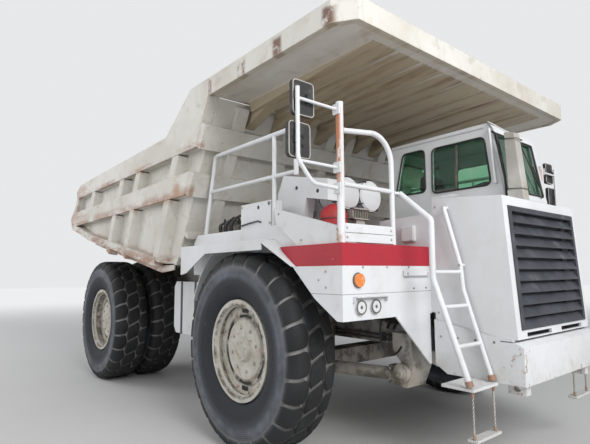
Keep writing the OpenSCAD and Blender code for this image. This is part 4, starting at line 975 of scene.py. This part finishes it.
# Name, place ahead, how far out the rim's face, its disc and the hub are, body, the hub cap's radius
WHEELS = [
    ("front", 0, 1.805, 1.823, 1.85, "front_wheel", 0.105),
    ("rear", -4.09, 1.74, 1.765, 1.765, "rear_wheels", 0.15),
]
for side, s in SIDES:
    for place, x, face, disc, hub, body, cap_r in WHEELS:
        body = f"{side}_{body}"
        bm = bmesh.new()
        centre = A(x, s * (face - 0.001), AXLE_Z)
        for i in range(6):
            arc_plate(bm, centre, s, 0.301, 0.33, 60 * i + 30, 19)
        for i in range(2):
            arc_plate(bm, centre, s, 0.343, 0.385, 180 * i + 90, 9)
        # Painted shade: the slots are black patches on the rim's face
        piece(f"{place}_rim_slots_{side}", bm, opening_shade_black, body)
        nuts = []
        for r, y, count in ((0.392, face, 12), (0.205, disc, 8), (0.075, hub, 6)):
            for along, up in (polar(r, t) for t in turns(count, 0.3)):
                nuts.append((A(x + along, s * y, AXLE_Z + up), (0, s, 0)))
        studs(f"{place}_nuts_{side}", nuts, wheel_paint, 0.012, 0.014, body=body)
        rings = [circle(A(x, s * (face + 0.001), AXLE_Z), r, (0, s, 0), 60) for r in (0.415, 0.332)]
        tubes(f"{place}_rim_rings_{side}", rings, 0.004, wheel_paint, body, closed=True, sides=6)
        bm = bmesh.new()
        cap = ((cap_r, -0.002), (0.1, 0.006), (0.06, 0.008), (0.045, 0.012), (0.001, 0.012))
        lathe(bm, A(x, s * hub, AXLE_Z), [(r, s * h) for r, h in cap])
        piece(f"{place}_hub_cap_{side}", bm, wheel_paint, body)

# Under the front: pin caps, filters, hoses, pipes along the rails and rings on the struts
PIN_CAP = [
    (0.085, 0), (0.085, 0.035), (0.074, 0.045), (0.06, 0.045), (0.056, 0.058), (0.04, 0.06), (0.036, 0.072),
    (0.02, 0.074), (0.001, 0.074),
]
FILTER = [(0.001, -0.17), (0.045, -0.17), (0.06, -0.155), (0.06, 0.02), (0.066, 0.022), (0.066, 0.05), (0.001, 0.05)]
caps, filters, lines, pipes, rings, clips = bmesh.new(), bmesh.new(), [], [], [], []
for side, s in SIDES:
    lathe(caps, A(1.11, s * 0.835, 0.75), [(r, s * h) for r, h in PIN_CAP])
    pipes += [[A(0.92, s * 0.6, z), A(-1.85, s * 0.6, z + 0.01)] for z in (0.985, 1.025)]
    clips += [((x - 0.02, s * 0.581, 0.965), (x + 0.02, s * 0.618, 1.05)) for x in (0.7, 0, -0.7, -1.2, -1.7)]
    rings += [circle(A(0, s * 0.7, z), 0.096, UP) for z in (1.1, 1.62)]
    rings += [circle(A(-4.03, s * 0.69, z), 0.086, UP) for z in (1.47, 1.82)]
    hose(f"brake_hose_{side}", [
        A(1.02, s * 1, 1.279), A(1.02, s * 1.03, 1.13), A(1.03, s * 1.02, 0.99), A(1.06, s * 0.96, 0.92),
        A(1.09, s * 0.89, 0.93), A(1.1, s * 0.834, 0.98),
    ], 0.0175)
    for x, far in ((1.12, 0), (1.3, 0.1)):
        lathe(filters, A(x, s * 0.665, 1.12), FILTER, "z", 28)
        lines.append(eased([
            A(x, s * 0.665, 1.165), A(x - 0.01, s * 0.67, 1.23), A(x - 0.08, s * 0.675, 1.27),
            A(x - 0.2 - far, s * 0.66, 1.24), A(x - 0.32 - far, s * 0.62, 1.16), A(x - 0.38 - far, s * 0.585, 1.1),
        ]))
    lines.append(eased([
        A(0.86, s * 0.585, 1.05), A(0.87, s * 0.66, 1.04), A(0.93, s * 0.72, 1), A(1.01, s * 0.74, 0.98),
    ]))
piece("pin_caps", caps, grimy_low_shaded_paint)
piece("oil_filters", filters, grille_paint)
tubes("filter_lines", lines, 0.014, black_rubber)
tubes("rail_pipes", pipes, 0.011, steel, sides=8)
boxes("pipe_clips", clips, grille_paint, 0.004)
tubes("strut_rings", rings, 0.008, steel, closed=True)

# Engine: covers, manifolds and the pan; the rear axle's bolts
covers, pipes = [], []
for side, s in SIDES:
    for i in range(6):
        x = 0.22 + 0.19 * i
        covers.append(((x, s * 0.2, 1.775), (x + 0.16, s * 0.36, 1.79)))
        pipes.append(eased([A(x + 0.08, s * 0.378, 1.62), A(x + 0.08, s * 0.44, 1.6), A(x + 0.08, s * 0.47, 1.53)], 5))
    pipes.append([A(0.2, s * 0.475, 1.52), A(1.33, s * 0.475, 1.52)])
tubes("manifolds", pipes, 0.035, rusty)
boxes("engine_covers", covers + [((0.3, -0.3, 0.955), (1.25, 0.3, 1.015))], grille_paint, 0.006)
studs("axle_bolts", [
    (A(-4.09 + 0.21 * way, 0, AXLE_Z) + Vector((0, *polar(0.29, t))), (way, 0, 0)) for way in (-1, 1) for t in turns(16)
], steel, 0.016, 0.014)

# Tanks: straps, filler caps and gauges
STRAP = [(1.498, 0.868, 1.505, 1.553), (0.862, 1.549, 1.504, 1.554), (0.862, 0.866, 1.504, 0.871)]
FILLER = [(0.085, 0), (0.085, 0.012), (0.065, 0.014), (0.065, 0.055), (0.055, 0.062), (0.001, 0.062)]
straps, fillers = [], bmesh.new()
for side, s in SIDES:
    for x in (-1.98, -1.6, -1.36):
        straps += [((x - 0.025, s * y0, z0), (x + 0.025, s * y1, z1)) for y0, z0, y1, z1 in STRAP]
    lathe(fillers, A(-1.72, s * 1.3, 1.55), FILLER, "z", 24)
boxes("tank_straps", straps, grille_paint, 0.002)
piece("tank_caps", fillers, steel)
tubes("tank_gauges", [[A(-1.5, s * 1.512, 1.05), A(-1.5, s * 1.512, 1.4)] for s in (-1, 1)], 0.012, lamp_lens)
studs("gauge_ends", [(A(-1.5, s * 1.5, z), (0, s, 0)) for s in (-1, 1) for z in (1.04, 1.41)], steel, 0.018, 0.022)

# Tail lamps
tubes("tail_rings", [circle(A(-4.724, s * y, 1.7), 0.046, BACK) for s in (-1, 1) for y in (0.8, 0.69)], 0.006,
      grille_paint, slot="dark_plastic", closed=True)


# Seat: a cushion and a back, each a crowned closed form, on a steel stand
def cushion(name, low, high, crown, axis):
    """A padded block, its face crowned and its corners drawn in."""
    bm = bmesh.new()
    bmesh.ops.create_cube(bm, size=2)
    bmesh.ops.subdivide_edges(bm, edges=bm.edges, cuts=9, use_grid_fill=True)
    half = (Vector(high) - Vector(low)) / 2
    middle = (Vector(high) + Vector(low)) / 2
    soft = min(half) * 0.8
    others = [i for i in range(3) if i != axis]
    for vert in bm.verts:
        place = Vector([vert.co[i] * half[i] for i in range(3)])
        core = Vector([max(-(half[i] - soft), min(half[i] - soft, place[i])) for i in range(3)])
        way = place - core
        rounded = core + (way.normalized() * soft if way.length > soft else way)
        u, v = (vert.co[i] for i in others)
        dome = (1 - u * u) * (1 - v * v)
        seam = 0.006 * sum(math.exp(-((u - line) / 0.06) ** 2) for line in (-0.45, 0.45))
        if vert.co[axis] > 0:
            rounded[axis] += crown * dome - seam
        for i, w in zip(others, (u, v)):
            rounded[i] -= 0.006 * w * (1 - dome) * (1 - abs(vert.co[axis]))
        vert.co = A(*(middle + rounded))
    made = piece(name, bm, cloth, smooth=True)
    subdivision = made.modifiers.new("soft", "SUBSURF")
    subdivision.levels = subdivision.render_levels = 1
    return made


seat = cushion("seat_cushion", (0.62, 0.25, 2.135), (1.09, 0.71, 2.24), 0.018, 2)
cushion("seat_back", (0.575, 0.27, 2.24), (0.675, 0.69, 2.79), 0.016, 0)
boxes("seat_stand", [
    ((0.66, 0.3, 2.1), (1.04, 0.66, 2.135)), ((0.74, 0.38, 1.956), (0.9, 0.58, 2.1)),
    ((0.58, 0.4, 2.13), (0.6, 0.56, 2.6)),
], plastic, 0.01)
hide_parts("cab_seat")


# ---------------------------------------------------------------- stage, lights and camera

BACKDROP, BLACK = (0.8, 0.81, 0.82), (0, 0, 0)
FLOOR_RADIUS = 60
floor = bpy.data.objects.new("floor", bpy.data.meshes.new("floor"))
bm = bmesh.new()
bmesh.ops.create_circle(bm, cap_ends=True, segments=64, radius=FLOOR_RADIUS)
bm.to_mesh(floor.data)
bm.free()
scene.collection.objects.link(floor)
# The floor's own colour fades into the backdrop's light between these distances from the middle
FADE = (6, 26)
ground = Paint("pale floor", roughness=0.75, emission_strength=1)
away = ((ground.x * ground.x + ground.y * ground.y) ** 0.5).ramp(*FADE)
near_grey = ground.mix(ground.noise(0.7, 4, 0.6), (0.56, 0.555, 0.55), (0.6, 0.6, 0.595))
ground.set(base_color=ground.mix(away, near_grey, BLACK), emission_color=ground.mix(away, BLACK, BACKDROP))
floor.data.materials.append(ground.material)

# Rays from the camera, also through glass, see the plain backdrop. The rest of the scene gets a soft glow
world = bpy.data.worlds.new("studio")
scene.world = world
world.use_nodes = True
sky = Tree()
sky.tree = world.node_tree
sky.tree.nodes.clear()
rays = [sky.add("LightPath", out=f"Is {kind} Ray") for kind in ("Camera", "Transmission")]
glow = sky.add("Background", {"Color": (0.95, 0.97, 1), "Strength": 0.5})
backdrop = sky.add("Background", {"Color": BACKDROP, "Strength": 1})
lit = sky.add("MixShader", {0: rays[0].most(rays[1]), 1: glow, 2: backdrop})
sky.add("OutputWorld", {0: lit})

# Lamps: name, place, point aimed at, size, power
LAMPS = [
    ("key", (12.5, -3, 7.5), (0.8, 0, 1.4), 7, 1250),
    ("fill", (2, -12, 5), (-1, 0, 1.4), 8, 260),
    ("back", (-9, -8, 6), (-2, 0, 1.6), 7, 380),
]
for name, place, aim, size, power in LAMPS:
    lamp = bpy.data.lights.new(name, "AREA")
    lamp.shape, lamp.size, lamp.energy = "DISK", size, power
    holder = bpy.data.objects.new(name, lamp)
    way = Vector(aim) - Vector(place)
    holder.matrix_world = Matrix.Translation(place) @ way.to_track_quat("-Z", "Y").to_matrix().to_4x4()
    scene.collection.objects.link(holder)

# The camera was fitted to the photograph: place, heading, pitch, roll and focal length
CAMERA_PLACE = (3.8352, -4.3657, 1.6561)
HEADING, PITCH, ROLL = 2.447648, 0.108478, -0.006391
FOCAL_PIXELS, FRAME_WIDTH, SENSOR = 466.7, 590, 36
camera = bpy.data.cameras.new("camera")
camera.sensor_width, camera.lens = SENSOR, FOCAL_PIXELS * SENSOR / FRAME_WIDTH
camera.clip_end = 300
viewer = bpy.data.objects.new("camera", camera)
turn = (
    Matrix.Rotation(HEADING - math.pi / 2, 4, "Z")
    @ Matrix.Rotation(math.pi / 2 + PITCH, 4, "X")
    @ Matrix.Rotation(ROLL, 4, "Z")
)
viewer.matrix_world = Matrix.Translation(A(*CAMERA_PLACE)) @ turn
scene.collection.objects.link(viewer)
scene.camera = viewer
scene.view_settings.view_transform = "Standard"
